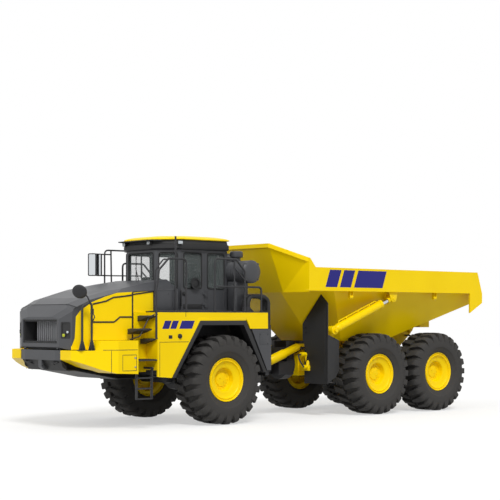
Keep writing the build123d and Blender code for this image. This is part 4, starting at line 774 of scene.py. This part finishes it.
def footPlate(bm, x, y, size):
    # a round flange on the deck with the tube's socket
    turned(bm, at(x, y, footZ), ((0, 0), (0, size), (10, size), (10, 26), (30, 24), (30, 0)), 20)


# deck guards on both sides
bm = bmesh.new()
y = rail["y"]
for line in rail["guards"]:
    pipe(bm, [(x, y, z) for x, z in line], 90, rail["radius"])
tube(bm, ((2130, y, deckTop), (2130, y, 3455)), rail["thin"])
pipe(bm, ((2130, y, 3280), (2040, y, 3200), (1840, y, 3020)), 50, rail["thin"])
for x in (2660, 1840, 1380, 2130):
    footPlate(bm, x, y, rail["foot"])
mirrorAcross(bm)
# left: long grab from the fender's front corner to the cab with its brackets, inner grab, bay grab
pipe(bm, [(x, y, z) for x, z in rail["grabLeft"]], 100, rail["radius"])
footPlate(bm, 3410, y, rail["foot"])
for z in (1820, 2300):
    tube(bm, ((4140, y, z), (4170, y, z)), 16)
pipe(bm, ((3980, 1330, 2700), (3960, 1330, 3200), (3760, 1330, 3420), (3450, 1330, 3440)), 90, 16)
pipe(bm, ((4600, 1340, 1800), (4520, 1560, 1860), (4290, 1560, 2240), (4180, 1600, 2300)), 60, 13)
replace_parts(asPiece(bm, "deckRails", "frameEnamel"), "handrails")

# hoop on the left corner with flared feet and a round mirror on its arm; posts are (x, y, top)
hoop = dict(radius=23, low=1600, bend=100, turn=20, front=(5640, 1200, 2455), rear=(5450, 1250, 2545),
            foot=((-80, 1592), (80, 1592), (74, 1630), (24, 1800), (-24, 1800), (-74, 1630)),
            disc=(5740, 1262, 2738), discFaces=(-1, -0.95, 0.62))
bm = bmesh.new()
(frontX, frontY, _), (rearX, rearY, _) = hoop["front"], hoop["rear"]
pipe(bm, ((frontX, frontY, hoop["low"]), hoop["front"], hoop["rear"], (rearX, rearY, hoop["low"])),
     hoop["bend"], hoop["radius"])
for x, y, _ in (hoop["front"], hoop["rear"]):
    for turn in (hoop["turn"], hoop["turn"] + 90):
        prism(bm, at(x, y, 0, turn) @ sideways(-6), hoop["foot"], 12, 3)
    block(bm, at(x, y, 1590, hoop["turn"]), 200, 140, 20, 10, 3)
disc = along(hoop["disc"], hoop["discFaces"])
pipe(bm, ((rearX, rearY, 2460), (5560, 1265, 2640), (5670, 1262, 2735), (5735, 1258, 2742)), 70, 14)
turned(bm, disc, ((-34, 0), (-34, 40), (-26, 100), (-10, 140), (2, 147), (8, 143),
                  (6, 132), (0, 130), (0, 0)), 40)
# latch of the side cover beside the hoop
block(bm, at(5430, 1236, 2300), 60, 50, 12, 110, 6)
pipe(bm, ((5430, 1250, 2330), (5405, 1290, 2250), (5420, 1240, 2160)), 30, 10)
# pole at the cab's corner and its stay
pole = dict(x=3450, y=1335, top=3900, radius=20)
tube(bm, ((pole["x"], pole["y"], deckTop), (pole["x"], pole["y"], pole["top"])), pole["radius"])
footPlate(bm, pole["x"], pole["y"], 40)
pipe(bm, ((pole["x"], pole["y"], 3640), (3300, 1180, 3690), (3120, 1010, 3700)), 60, 12)
# frame of the pair on the right; each glass is (x, width)
pair = dict(y=-1580, radius=18, z=3405, turn=42, height=500, glasses=((3525, 185), (3345, 125)))
y = pair["y"]
pipe(bm, ((3190, y, deckTop), (3190, y, 3735), (2180, y, 3735), (2180, y, 3150), (2120, y, 2900),
          (2120, y, deckTop)), 100, pair["radius"])
pipe(bm, ((3000, y, deckTop), (3000, y, 2600), (3020, y, 3735)), 80, pair["radius"])
for z in (3170, 3640):
    pipe(bm, ((3020, y, z), (3345, y, z), (3520, y, z + 4)), 40, 15)
tube(bm, ((2180, y, 3180), (3020, y, 3170)), 14)
for x in (3190, 3000, 2120):
    footPlate(bm, x, y, 36)
faces = bmesh.new()
for x, width in pair["glasses"]:
    place = at(x, y, pair["z"], pair["turn"]) @ facingFront(0)
    case = roundedRect(width, pair["height"], 30, 4)
    prism(bm, place @ at(0, 0, -55), case, 50, 12)
    ringPlate(bm, place @ at(0, 0, -8), case, roundedRect(width - 40, pair["height"] - 40, 20, 4), 14)
    prism(faces, place @ at(0, 0, -4), roundedRect(width - 38, pair["height"] - 38, 20, 4), 4)
turned(faces, disc, ((0, 0), (0, 128), (3, 124), (10, 70), (13, 0)), 40)
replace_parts(asPiece(bm, "mirrorFrames", "frameEnamel"), "mirrors")
asPiece(faces, "mirrorFaces", "silveredGlass")

# stairs: treads as x from, x to, height, reach, drop of the gusset at the wall; rods along each for grip
stairs = dict(wall=1262, thick=26, pitch=50, rod=6,
              treads=((4150, 4610, 1400, 1645, 26), (4240, 4605, 2010, 1590, 110),
                      (4150, 4360, 2270, 1600, 110), (4150, 4290, 1810, 1600, 110)))
bm = bmesh.new()
for x0, x1, z, reach, drop in stairs["treads"]:
    section = ((stairs["wall"], z - drop), (stairs["wall"], z), (reach, z), (reach, z - stairs["thick"]))
    prism(bm, facingFront(x0), section, x1 - x0, 4)
    for k in range(int((x1 - x0) / stairs["pitch"])):
        x = x0 + 30 + stairs["pitch"] * k
        tube(bm, ((x, 1290, z + 2), (x, reach - 20, z + 2)), stairs["rod"], 6)
mirrorAcross(bm)
# hanging ladder on the left: flat side bars on rubber straps, flat rungs
ladder = dict(sides=(4225, 4600), rungs=(625, 830, 1040), low=610, y=1525)


def bar(bm, x, y, z, width, depth, height, bevel):
    prism(bm, at(x, y, z), ((0, 0), (width, 0), (width, depth), (0, depth)), height, bevel)


for x in ladder["sides"]:
    bar(bm, x - 10, ladder["y"], ladder["low"], 20, 70, 640, 4)
    bar(bm, x - 14, 1300, 1205, 28, 300, 45, 4)
    boltsOn(bm, 1595, 22, ((x, 1060), (x, 1215)))
for z in ladder["rungs"]:
    bar(bm, 4235, 1520, z - 20, 355, 80, 30, 6)
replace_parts(asPiece(bm, "stairTreads", "frameEnamel"), "stairs")
print("rails, mirrors and stairs dressed")

# front unit's body: arch lips and splash curtains, cover plates, seams, lids, caps, bumper cover

# each with its finish, plane, thickness, edge bevel and outline as (x, z)
archParts = dict(
    archFlanges=("yellowEnamel", 1622, 28, 3,
                 ((3795, 1020), (3085, 2240), (1798, 2240), (1808, 2172), (3055, 2172), (3782, 1020))),
    archLips=("mouldedPlastic", 1500, 164, 12,
              ((3782, 1020), (3055, 2172), (1828, 2172), (1232, 1070), (1345, 1070), (1880, 2092),
               (3012, 2092), (3690, 1020))),
    splashCurtains=("hoseRubber", 938, 10, 2, ((3640, 1240), (3060, 2330), (1770, 2330), (1255, 1240))))
for name, (finish, y, thick, bevel, outline) in archParts.items():
    bm = bmesh.new()
    prism(bm, sideways(y), outline, thick, bevel)
    mirrorAcross(bm)
    asPiece(bm, name, finish)

# grey plate between hood and cab with its crosswise return and rolled top
bm = bmesh.new()
prism(bm, sideways(1289.5), ((3362, 2368), (3962, 2368), (3962, 2784), (3362, 2794)), 6, 2)
prism(bm, facingFront(3358), ((952, 2368), (1290, 2368), (1290, 2786), (952, 2786)), 6, 2)
tube(bm, ((3362, 1284, 2794), (3962, 1283, 2783)), 16, 10)
boltsOn(bm, 1295, 16, ((3600, 2420), (3910, 2420), (3600, 2720), (3910, 2710)))
mirrorAcross(bm)
asPiece(bm, "hoodRearPlates", "greyEnamel")
# studded mats along the deck: x from, x to, y from, y to
mats = dict(thick=6, pitch=75, margin=60, stud=((0, 22), (6, 16), (6, 0)),
            places=((3480, 4130, 1345, 1635), (2700, 3380, 1050, 1600), (1900, 2620, 1050, 1600)))
bm = bmesh.new()
for x0, x1, y0, y1 in mats["places"]:
    slab(bm, at((x0 + x1) / 2, (y0 + y1) / 2, deckTop - 4.5), x1 - x0, y1 - y0, mats["thick"], 2)
    for i in range(int((x1 - x0 - 60) / mats["pitch"])):
        for j in range(int((y1 - y0 - 50) / mats["pitch"])):
            x, y = x0 + mats["margin"] + mats["pitch"] * i, y0 + 55 + mats["pitch"] * j
            turned(bm, at(x, y, deckTop + 1), mats["stud"], 8)
mirrorAcross(bm)
asPiece(bm, "deckMats", "treadSteel")

# narrow gaps between panels, drawn as dark strips half sunk in the skin; lines are (x, z)
bodyPlan = ((4615, 1650), (5085, 1635), (5635, 1300), (5835, 1100))
gaps = dict(radius=5.5,
            fender=(((4090, 1065), (4090, 1743), (3360, 1743)), ((3430, 2335), (3430, 2250))),
            sideBody=(((5200, 1150), (5200, 1585)), ((4630, 1600), (5085, 1600), (5340, 1600)),
                      ((4660, 1190), (4660, 1500), (4985, 1500), (4985, 1190), (4660, 1190))))
bm = bmesh.new()
for line in gaps["fender"]:
    tube(bm, [(x, fenderSide, z) for x, z in line], gaps["radius"], 6)
for line in gaps["sideBody"]:
    points = []
    for (x, z), (nextX, nextZ) in zip(line, line[1:]):
        points += [(x + (nextX - x) * k / 4, z + (nextZ - z) * k / 4) for k in range(4)]
    tube(bm, [(x, edgeAt(bodyPlan, x), z) for x, z in points + [line[-1]]], gaps["radius"], 6)
mirrorAcross(bm)
asPiece(bm, "panelGaps", "hoseRubber")

# latches of the lid, fuel cap with its grip, filler plate; places are (x, z)
lids = dict(latches=((4690, 1440), (4690, 1260)), fuelCap=(3586, 1859), filler=(3821, 1845))
bm, caps = bmesh.new(), bmesh.new()
for x, z in lids["latches"]:
    block(bm, sideways(edgeAt(bodyPlan, x) - 1, x, z), 40, 30, 8, 10, 3)
spot = sideways(fenderSide, *lids["fuelCap"])
turned(caps, spot, ((0, 0), (0, 50), (12, 50), (16, 45), (30, 42), (34, 36), (34, 0)), 32)
slab(caps, spot @ at(0, 0, 34), 60, 14, 12, 4)
block(caps, sideways(fenderSide, *lids["filler"]), 90, 70, 12, 4, 1)
for part, name, finish in ((bm, "lidLatches", "zincPlate"), (caps, "fenderCaps", "mouldedPlastic")):
    mirrorAcross(part)
    asPiece(part, name, finish)

# bumper: black cover over the skirt with its pipe loops, plate screws
skirt = dict(section=((5824, 1388), (5800, 1386), (5664, 1188), (5680, 1186)),
             stations=(-712, -600, -300, 0, 300, 600, 712))
bm = bmesh.new()
pipe(bm, ((5700, 620, 1400), (5825, 600, 1340), (5830, 420, 1330), (5720, 380, 1290)), 50, 17)
pipe(bm, ((5780, 690, 1345), (5760, 700, 1260), (5600, 690, 1180)), 50, 13)
mirrorAcross(bm)
loft(bm, [[(x, y, z) for x, z in skirt["section"]] for y in skirt["stations"]])
asPiece(bm, "bumperSkirtCover", "mouldedPlastic")
bm = bmesh.new()
for y in (-520, -180, 180, 520):
    bolt(bm, facingFront(5839, y, 1475), 20)
asPiece(bm, "bumperScrews", "zincPlate")
# joint across the nose where the bonnet's front pressing begins
bm = bmesh.new()
tube(bm, ((5640, 715, 2496), (5640, 996, 2441), (5700, 985, 2395)), 6, 6)
mirrorAcross(bm)
tube(bm, ((5640, -715, 2496), (5640, 715, 2496)), 6, 6)
asPiece(bm, "noseJoint", "hoseRubber", "hood")
print("body dressed")

# hydraulics, hitch and bed: cylinders as turned parts, hoses, drum behind the cab, small fittings

# pins of each cylinder on the left, radii of its tubes, distances from the foot pin along its line;
# an eye is its radius, its width and its bore's radius
hoist = dict(foot=(-850, 1560, 1955), head=(-2725, 1560, 2680), barrel=95, stage=75, rod=50,
             barrelEnd=1640, stageEnd=1660, rodEnd=1935, footEye=(100, 110, 45.5), headEye=(88, 118, 41),
             clampAt=(450, 850, 1250), pipe=13)
# planes of its ears, and their outline as (x, z)
hoistBracket = dict(ears=(1475, 1628), thick=17, outline=((-2860, 2832), (-2560, 2832), (-2640, 2640),
                                                          (-2680, 2600), (-2770, 2600), (-2810, 2640)))
steer = dict(foot=(-905, 420, 1600), head=(170, 430, 1220), barrel=90, rod=45, barrelEnd=731,
             rodEnd=1075, footEye=(88, 70, 45.5), headEye=(76, 70, 45.5), guard=101, guardFrom=560)


def eye(bm, place, radius, width, bore):
    # a bored end with chamfered rims, its bore along the place's z
    half, c = width / 2, 6
    turned(bm, place, ((-half, bore), (-half, radius - c), (c - half, radius), (half - c, radius),
                       (half, radius - c), (half, bore), (-half, bore)), 36)


def cylinderLine(spec, s):
    # foot pin, head pin, direction between them, and a place at the foot that looks along it
    foot, head = (Vector((x, s * y, z)) for x, y, z in (spec["foot"], spec["head"]))
    run = (head - foot).normalized()
    return foot, head, run, along(foot, run)


def cylinderPart(bm, kind, part, sideName, finish):
    # takes the place of the plain part on its own body
    node = f"{kind}_{part.lower()}_{sideName}"
    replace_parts(asPiece(bm, f"{kind}{part}_{sideName}", finish, node), node)


for sideName, s in (("left", 1), ("right", -1)):
    foot, head, run, line = cylinderLine(hoist, s)
    r, end, bore = hoist["barrel"], hoist["barrelEnd"], hoist["stage"] + 0.2
    bm = bmesh.new()
    turned(bm, line, ((75, 0), (75, 70), (110, 88), (130, r), (190, r), (192, r + 6),
                      (225, r + 6), (227, r), (end - 80, r), (end - 78, r + 9),
                      (end - 6, r + 9), (end, r + 3), (end, bore), (1100, bore), (1100, 0)), 48)
    eye(bm, at(*foot) @ sideways(0), *hoist["footEye"])
    # feed pipe along the top in its clamps
    up = Vector((0, 1, 0)).cross(run).normalized()
    pipe(bm, [foot + run * far + up * out for far, out in ((200, 90), (220, 135), (1480, 135), (1520, 90))],
         30, hoist["pipe"])
    for far in hoist["clampAt"]:
        turned(bm, along(foot + run * far, run), ((0, r - 2), (0, r + 4), (30, r + 4), (30, r - 2)), 48)
        slab(bm, along(foot + run * far + up * 112, run), 40, 70, 28, 5)
    cylinderPart(bm, "hoist", "Barrel", sideName, "yellowEnamel")
    r, end, bore = hoist["stage"] - 0.2, hoist["stageEnd"], hoist["rod"] + 0.5
    bm = bmesh.new()
    turned(bm, line, ((150, 0), (150, r), (end - 6, r), (end, 70), (end, bore), (1200, bore), (1200, 0)), 48)
    cylinderPart(bm, "hoist", "Stage", sideName, "hardChrome")
    r, end = hoist["rod"], hoist["rodEnd"]
    bm = bmesh.new()
    turned(bm, line, ((300, 0), (300, r), (end, r), (end, 0)), 40)
    cylinderPart(bm, "hoist", "Rod", sideName, "hardChrome")
    bm = bmesh.new()
    eye(bm, at(*head) @ sideways(0), *hoist["headEye"])
    turned(bm, line, ((1860, 52), (1860, 66), (1935, 72), (1935, 52)), 32)
    asPiece(bm, f"hoistRodEye_{sideName}", "yellowEnamel", f"hoist_rod_{sideName}")
    # bracket ears of the rod end under the bed's rail, and the pin's two heads
    bm = bmesh.new()
    for y in hoistBracket["ears"]:
        prism(bm, sideways(s * y, s=s), hoistBracket["outline"], hoistBracket["thick"], 4)
    for flip in (0, 180):
        turned(bm, at(*head) @ sideways(0) @ spin(flip, "X") @ at(0, 0, 85),
               ((-20, 0), (-20, 36), (10, 36), (14, 32), (14, 0)), 28)
    asPiece(bm, f"hoistBracket_{sideName}", "yellowEnamel", "bed")

    foot, head, run, line = cylinderLine(steer, s)
    r, end, rod = steer["barrel"], steer["barrelEnd"], steer["rod"]
    bm = bmesh.new()
    turned(bm, line, ((90, 0), (90, 66), (112, 84), (125, r), (660, r), (662, r + 7),
                      (end - 7, r + 7), (end, r), (end, rod + 0.5), (600, rod + 0.5), (600, 0)), 40)
    eye(bm, at(*foot), *steer["footEye"])
    slab(bm, along(foot + run * 60, run), 66, 110, 50, 6)
    cylinderPart(bm, "steer", "Barrel", sideName, "yellowEnamel")
    end = steer["rodEnd"]
    bm = bmesh.new()
    turned(bm, line, ((400, 0), (400, rod), (end, rod), (end, 0)), 36)
    cylinderPart(bm, "steer", "Rod", sideName, "hardChrome")
    # rod eye with the tin guard that slides over the barrel
    inner, start = steer["guard"], steer["guardFrom"]
    bm = bmesh.new()
    eye(bm, at(*head), *steer["headEye"])
    turned(bm, line, ((start, inner), (start, inner + 3.5), (1030, inner + 3.5), (1040, 98), (1058, 60),
                      (1058, 46), (1052, 46), (1038, 92), (1034, inner), (start, inner)), 40)
    asPiece(bm, f"steerRodEye_{sideName}", "yellowEnamel", f"steer_rod_{sideName}")
print("cylinders dressed")

# hoses, all held at both ends: a big pair over the fender's tail, three small loops at the articulation
bigHose = dict(rows=(1480, 1350), radius=48, bend=170, footX=1620, endX=1045, endZ=1740)
smallHose = dict(count=3, radius=24, bend=100, y=1420, stepY=55, top=2060, stepTop=75)
bm, fits = bmesh.new(), bmesh.new()
footX, endX = bigHose["footX"], bigHose["endX"]
for y in bigHose["rows"]:
    pipe(bm, ((footX, y, 2366), (footX, y, 2560), (1560, y, 2690), (1180, y, 2690), (endX, y, 2600),
              (endX, y, bigHose["endZ"])), bigHose["bend"], bigHose["radius"], 18, 8)
    turned(fits, at(footX, y, 2366),
           ((0, 0), (0, 66), (18, 66), (18, 56), (90, 56), (94, 50), (94, 0)), 24)
    turned(fits, at(endX, y, 1745), ((0, 0), (0, 60), (90, 56), (94, 50), (94, 0)), 24)
block(fits, at(1045.5, 1415, 1640), 118, 276, 20, 115, 8)
slab(fits, at(endX, 1415, 2180), 40, 250, 35, 6)
for k in range(smallHose["count"]):
    out, low = smallHose["stepY"] * k, 50 * k
    y, top = smallHose["y"] - out, smallHose["top"] - smallHose["stepTop"] * k
    pipe(bm, ((990, y, 1700), (900, y - 40, top), (640 + out, 1060, top - 20), (560 + out, 800, 1700),
              (780, 620, 1480 - low), (1060, 560, 1440 - low)),
         smallHose["bend"], smallHose["radius"], steps=7)
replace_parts(asPiece(bm, "hydraulicHoses", "hoseRubber"), "hoses")
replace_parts(asPiece(fits, "hoseFittings", "castIron"), "hoses")

# air drum across the deck behind the cab: ribbed shell, end caps with clips, stand, intake stack
drum = dict(start=(1570, 860, 3210), ribs=9, ribPitch=62, skin=236, rib=243, clips=4)
line, skin, rib = at(*drum["start"]) @ spin(-90, "X"), drum["skin"], drum["rib"]
section = [(0, 0), (0, 170), (20, 215), (55, 233)]
for k in range(drum["ribs"]):
    rise = 80 + drum["ribPitch"] * k
    section += [(rise, skin), (rise + 10, rib), (rise + 26, rib), (rise + 36, skin)]
section += [(660, skin), (664, 245), (684, 245), (705, 222), (728, 160), (738, 60), (738, 0)]
bm = bmesh.new()
turned(bm, line, section, 48)
block(bm, at(1600, 1120, 2366), 360, 290, 30, 640, 14)
turned(bm, at(1570, 1040, 3400),
       ((0, 0), (0, 90), (120, 90), (130, 135), (150, 145), (240, 140), (262, 120), (270, 0)), 36)
for k in range(drum["clips"]):
    block(bm, line @ spin(45 + 90 * k, "Z") @ at(240, 0, 650), 22, 40, 6, 60, 4, steps=2)
asPiece(bm, "airPreCleaner", "greyEnamel", sharp=30)
bm = bmesh.new()
turned(bm, at(1440, 552, 3235) @ spin(-90, "X"),
       ((0, 0), (0, 180), (25, 235), (60, 247), (260, 247), (262, 256), (285, 256),
        (320, 220), (346, 120), (347, 0)), 48)
block(bm, at(1530, 720, 2366), 150, 240, 20, 700, 10)
pipe(bm, ((1440, 720, 3400), (1440, 720, 3520), (1440, 400, 3540), (1500, 300, 3500)), 90, 60, 18)
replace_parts(asPiece(bm, "airCleanerShell", "greyEnamel", sharp=30), "air_cleaner")
# louvres of the service box in their rolled frame
louvre = dict(x=1214, y=-150, low=2650, count=12, pitch=62, blade=(40, 900, 6), tilt=-35)
bm = bmesh.new()
for k in range(louvre["count"]):
    z = louvre["low"] + louvre["pitch"] * k
    slab(bm, at(louvre["x"], louvre["y"], z) @ spin(louvre["tilt"], "Y"), *louvre["blade"], 2)
loop(bm, [(1216, y, z) for y, z in ((-640, 2600), (340, 2600), (340, 3400), (-640, 3400))], 50, 10)
asPiece(bm, "serviceLouvres", "greyEnamel")
# straps over the tanks, cover plate with its bolts
bm = bmesh.new()
for x in (1155, 1380):
    block(bm, at(x, 1330, 1988), 40, 610, 10, 10, 2, steps=2)
block(bm, sideways(1644, 1310, 1780), 250, 240, 30, 6, 2)
boltsOn(bm, 1649, 18, ((1205, 1880), (1415, 1880), (1205, 1680)))
mirrorAcross(bm)
asPiece(bm, "tankStraps", "greyEnamel")

# rear unit: side returns behind the flaps with their clamping strip and bolts
flap = dict(face=-700, side=1512, boltRows=(1100, 1500, 1900, 2300), outerY=1440, innerY=800,
            outline=((-704, 760), (-704, 1860), (-1060, 1720), (-1060, 1060), (-960, 900)))
bm = bmesh.new()
prism(bm, sideways(flap["side"]), flap["outline"], 10, 2)
for z in flap["boltRows"]:
    bolt(bm, facingFront(flap["face"], flap["outerY"], z), 26)
    bolt(bm, facingFront(flap["face"], flap["innerY"], min(z, 2000)), 26)
block(bm, facingFront(-700.5, flap["outerY"], 1700), 60, 1500, 10, 8, 2, steps=2)
mirrorAcross(bm)
asPiece(bm, "flapReturns", "mouldedPlastic", "rear_unit")
# valve blocks and their pipes with flanges; small pipe, tow ring and tail lamp bracket; lamp lenses
tail = dict(x=-4505, y=700, z=1760, lens=(105, 165, 24, 4), bracket=(130, 190, 30, 4))
ring = dict(hangs=(-950, 800, 985), tilt=60, radius=85, bar=14)
bm, lenses, brackets = bmesh.new(), bmesh.new(), bmesh.new()
block(bm, at(-790, 830, 1030), 300, 240, 20, 120, 10)
pipe(bm, ((-560, 800, 1400), (-720, 800, 1400), (-770, 800, 1130)), 60, 50, 18, 6)
pipe(bm, ((-560, 900, 1110), (-660, 900, 1110), (-700, 880, 1220), (-760, 840, 1260)), 50, 40, 18, 6)
for y, z in ((800, 1400), (900, 1110)):
    turned(bm, along((-586, y, z), (1, 0, 0)), ((0, 0), (0, 54), (34, 54), (40, 46), (40, 0)), 24)
pipe(brackets, ((-556, 800, 1400), (-470, 800, 1390), (-480, 850, 1250), (-556, 900, 1110)), 50, 18)
place = at(*ring["hangs"]) @ spin(ring["tilt"], "Y")
links = [place @ Vector((x + ring["radius"], y, 0)) for x, y in circle(32, ring["radius"])]
tube(brackets, links + links[:2], ring["bar"], 10)
pipe(brackets, ((-4440, 410, 1800), (-4440, 560, 1800), (-4470, 640, tail["z"])), 50, 22)
place = at(tail["x"], tail["y"], tail["z"]) @ spin(-90, "Y")
prism(brackets, place @ at(0, 0, -50), roundedRect(*tail["bracket"]), 50, 10)
prism(lenses, place, roundedRect(*tail["lens"]), 14, 6)
block(lenses, sideways(794, -4480, tail["z"]), 40, 80, 12, 6, 2)
for part, name, finish in ((bm, "valvePipes", "yellowEnamel"), (lenses, "tailLamps", "redLens"),
                           (brackets, "ringAndBrackets", "frameEnamel")):
    mirrorAcross(part)
    asPiece(part, name, finish, "rear_unit")

# bed: lifting lugs under the rails, each of two ears and a bored tube
lug = dict(places=(-1350, -4190), ears=(-45, 30), low=2700, tubeY=1600,
           outline=((-10, 2832), (12, 2832), (12, 2700), (-10, 2700)))
bm = bmesh.new()
for x in lug["places"]:
    for ear in lug["ears"]:
        prism(bm, sideways(1560, x + ear), lug["outline"], 75, 4)
    eye(bm, at(x, lug["tubeY"], lug["low"]) @ sideways(0) @ spin(90, "Y"), 42, 100, 18)
mirrorAcross(bm)
asPiece(bm, "railLugs", "yellowEnamel", "bed")
# the hitch is a dull dark casting
nodes["hitch"].data.materials[0] = materials["frameEnamel"]
print("hydraulics and bed dressed")

# pale floor, soft studio light, camera; places are in metres

# each sun is its aim, its strength and how many degrees wide it looks
stage = dict(ambient=0.5, floorHalf=60, floorTone="#B9B9B8", floorGlow=0.5,
             suns=dict(key=((-0.42, -0.8, -0.95), 2.1, 18), fill=((-0.9, 0.1, -0.5), 0.75, 40)))
view = dict(place=(20.256, 23.115, 2.2224), turn=139.17, lens=96.63, shiftY=0.1364)


def whenSeen(tree):
    # 1 for what the eye sees straight, in a reflection or through glass, 0 for light that falls on things
    ray = addNode(tree, "ShaderNodeLightPath")
    seen = addNode(tree, "ShaderNodeMath", {"operation": "MAXIMUM"}, None,
                   {0: (ray, "Is Camera Ray"), 1: (ray, "Is Glossy Ray")})
    return addNode(tree, "ShaderNodeMath", {"operation": "MAXIMUM"}, None,
                   {0: (seen, 0), 1: (ray, "Is Transmission Ray")})


def buildStage():
    world = bpy.data.worlds.new("studio")
    bpy.context.scene.world = world
    world.use_nodes = True
    tree = world.node_tree
    background = tree.nodes["Background"]
    seenThrough = whenSeen(tree)
    level = addNode(tree, "ShaderNodeMapRange", None, {"To Min": stage["ambient"], "To Max": 1.0},
                    {"Value": (seenThrough, 0)})
    background.inputs["Color"].default_value = (1, 1, 1, 1)
    tree.links.new(level.outputs["Result"], background.inputs["Strength"])

    floorMesh = bpy.data.meshes.new("floor")
    h = stage["floorHalf"]
    floorMesh.from_pydata([(-h, -h, 0), (h, -h, 0), (h, h, 0), (-h, h, 0)], [], [(0, 1, 2, 3)])
    floor = bpy.data.objects.new("floor", floorMesh)
    bpy.context.scene.collection.objects.link(floor)
    paper = bpy.data.materials.new("studioPaper")
    paper.use_nodes = True
    tree = paper.node_tree
    shader = tree.nodes["Principled BSDF"]
    shader.inputs["Base Color"].default_value = linear(stage["floorTone"])
    shader.inputs["Roughness"].default_value = 0.9
    shader.inputs["Specular IOR Level"].default_value = 0.1
    seenThrough = whenSeen(tree)
    glow = addNode(tree, "ShaderNodeMath", {"operation": "MULTIPLY"}, {1: stage["floorGlow"]},
                   {0: (seenThrough, 0)})
    shader.inputs["Emission Color"].default_value = (1, 1, 1, 1)
    tree.links.new(glow.outputs[0], shader.inputs["Emission Strength"])
    floorMesh.materials.append(paper)

    for name, (aim, strength, spread) in stage["suns"].items():
        lamp = bpy.data.lights.new(name, "SUN")
        lamp.energy = strength
        lamp.angle = radians(spread)
        sun = bpy.data.objects.new(name, lamp)
        sun.rotation_euler = Vector(aim).to_track_quat("-Z", "Y").to_euler()
        bpy.context.scene.collection.objects.link(sun)

    cameraData = bpy.data.cameras.new("camera")
    cameraData.lens = view["lens"]
    cameraData.sensor_width = 36
    cameraData.shift_y = view["shiftY"]
    cameraData.clip_end = 300
    camera = bpy.data.objects.new("camera", cameraData)
    camera.location = view["place"]
    camera.rotation_euler = (pi / 2, 0, radians(view["turn"]))
    bpy.context.scene.collection.objects.link(camera)
    bpy.context.scene.camera = camera
    bpy.context.scene.view_settings.view_transform = "Standard"


buildStage()
print("stage built")
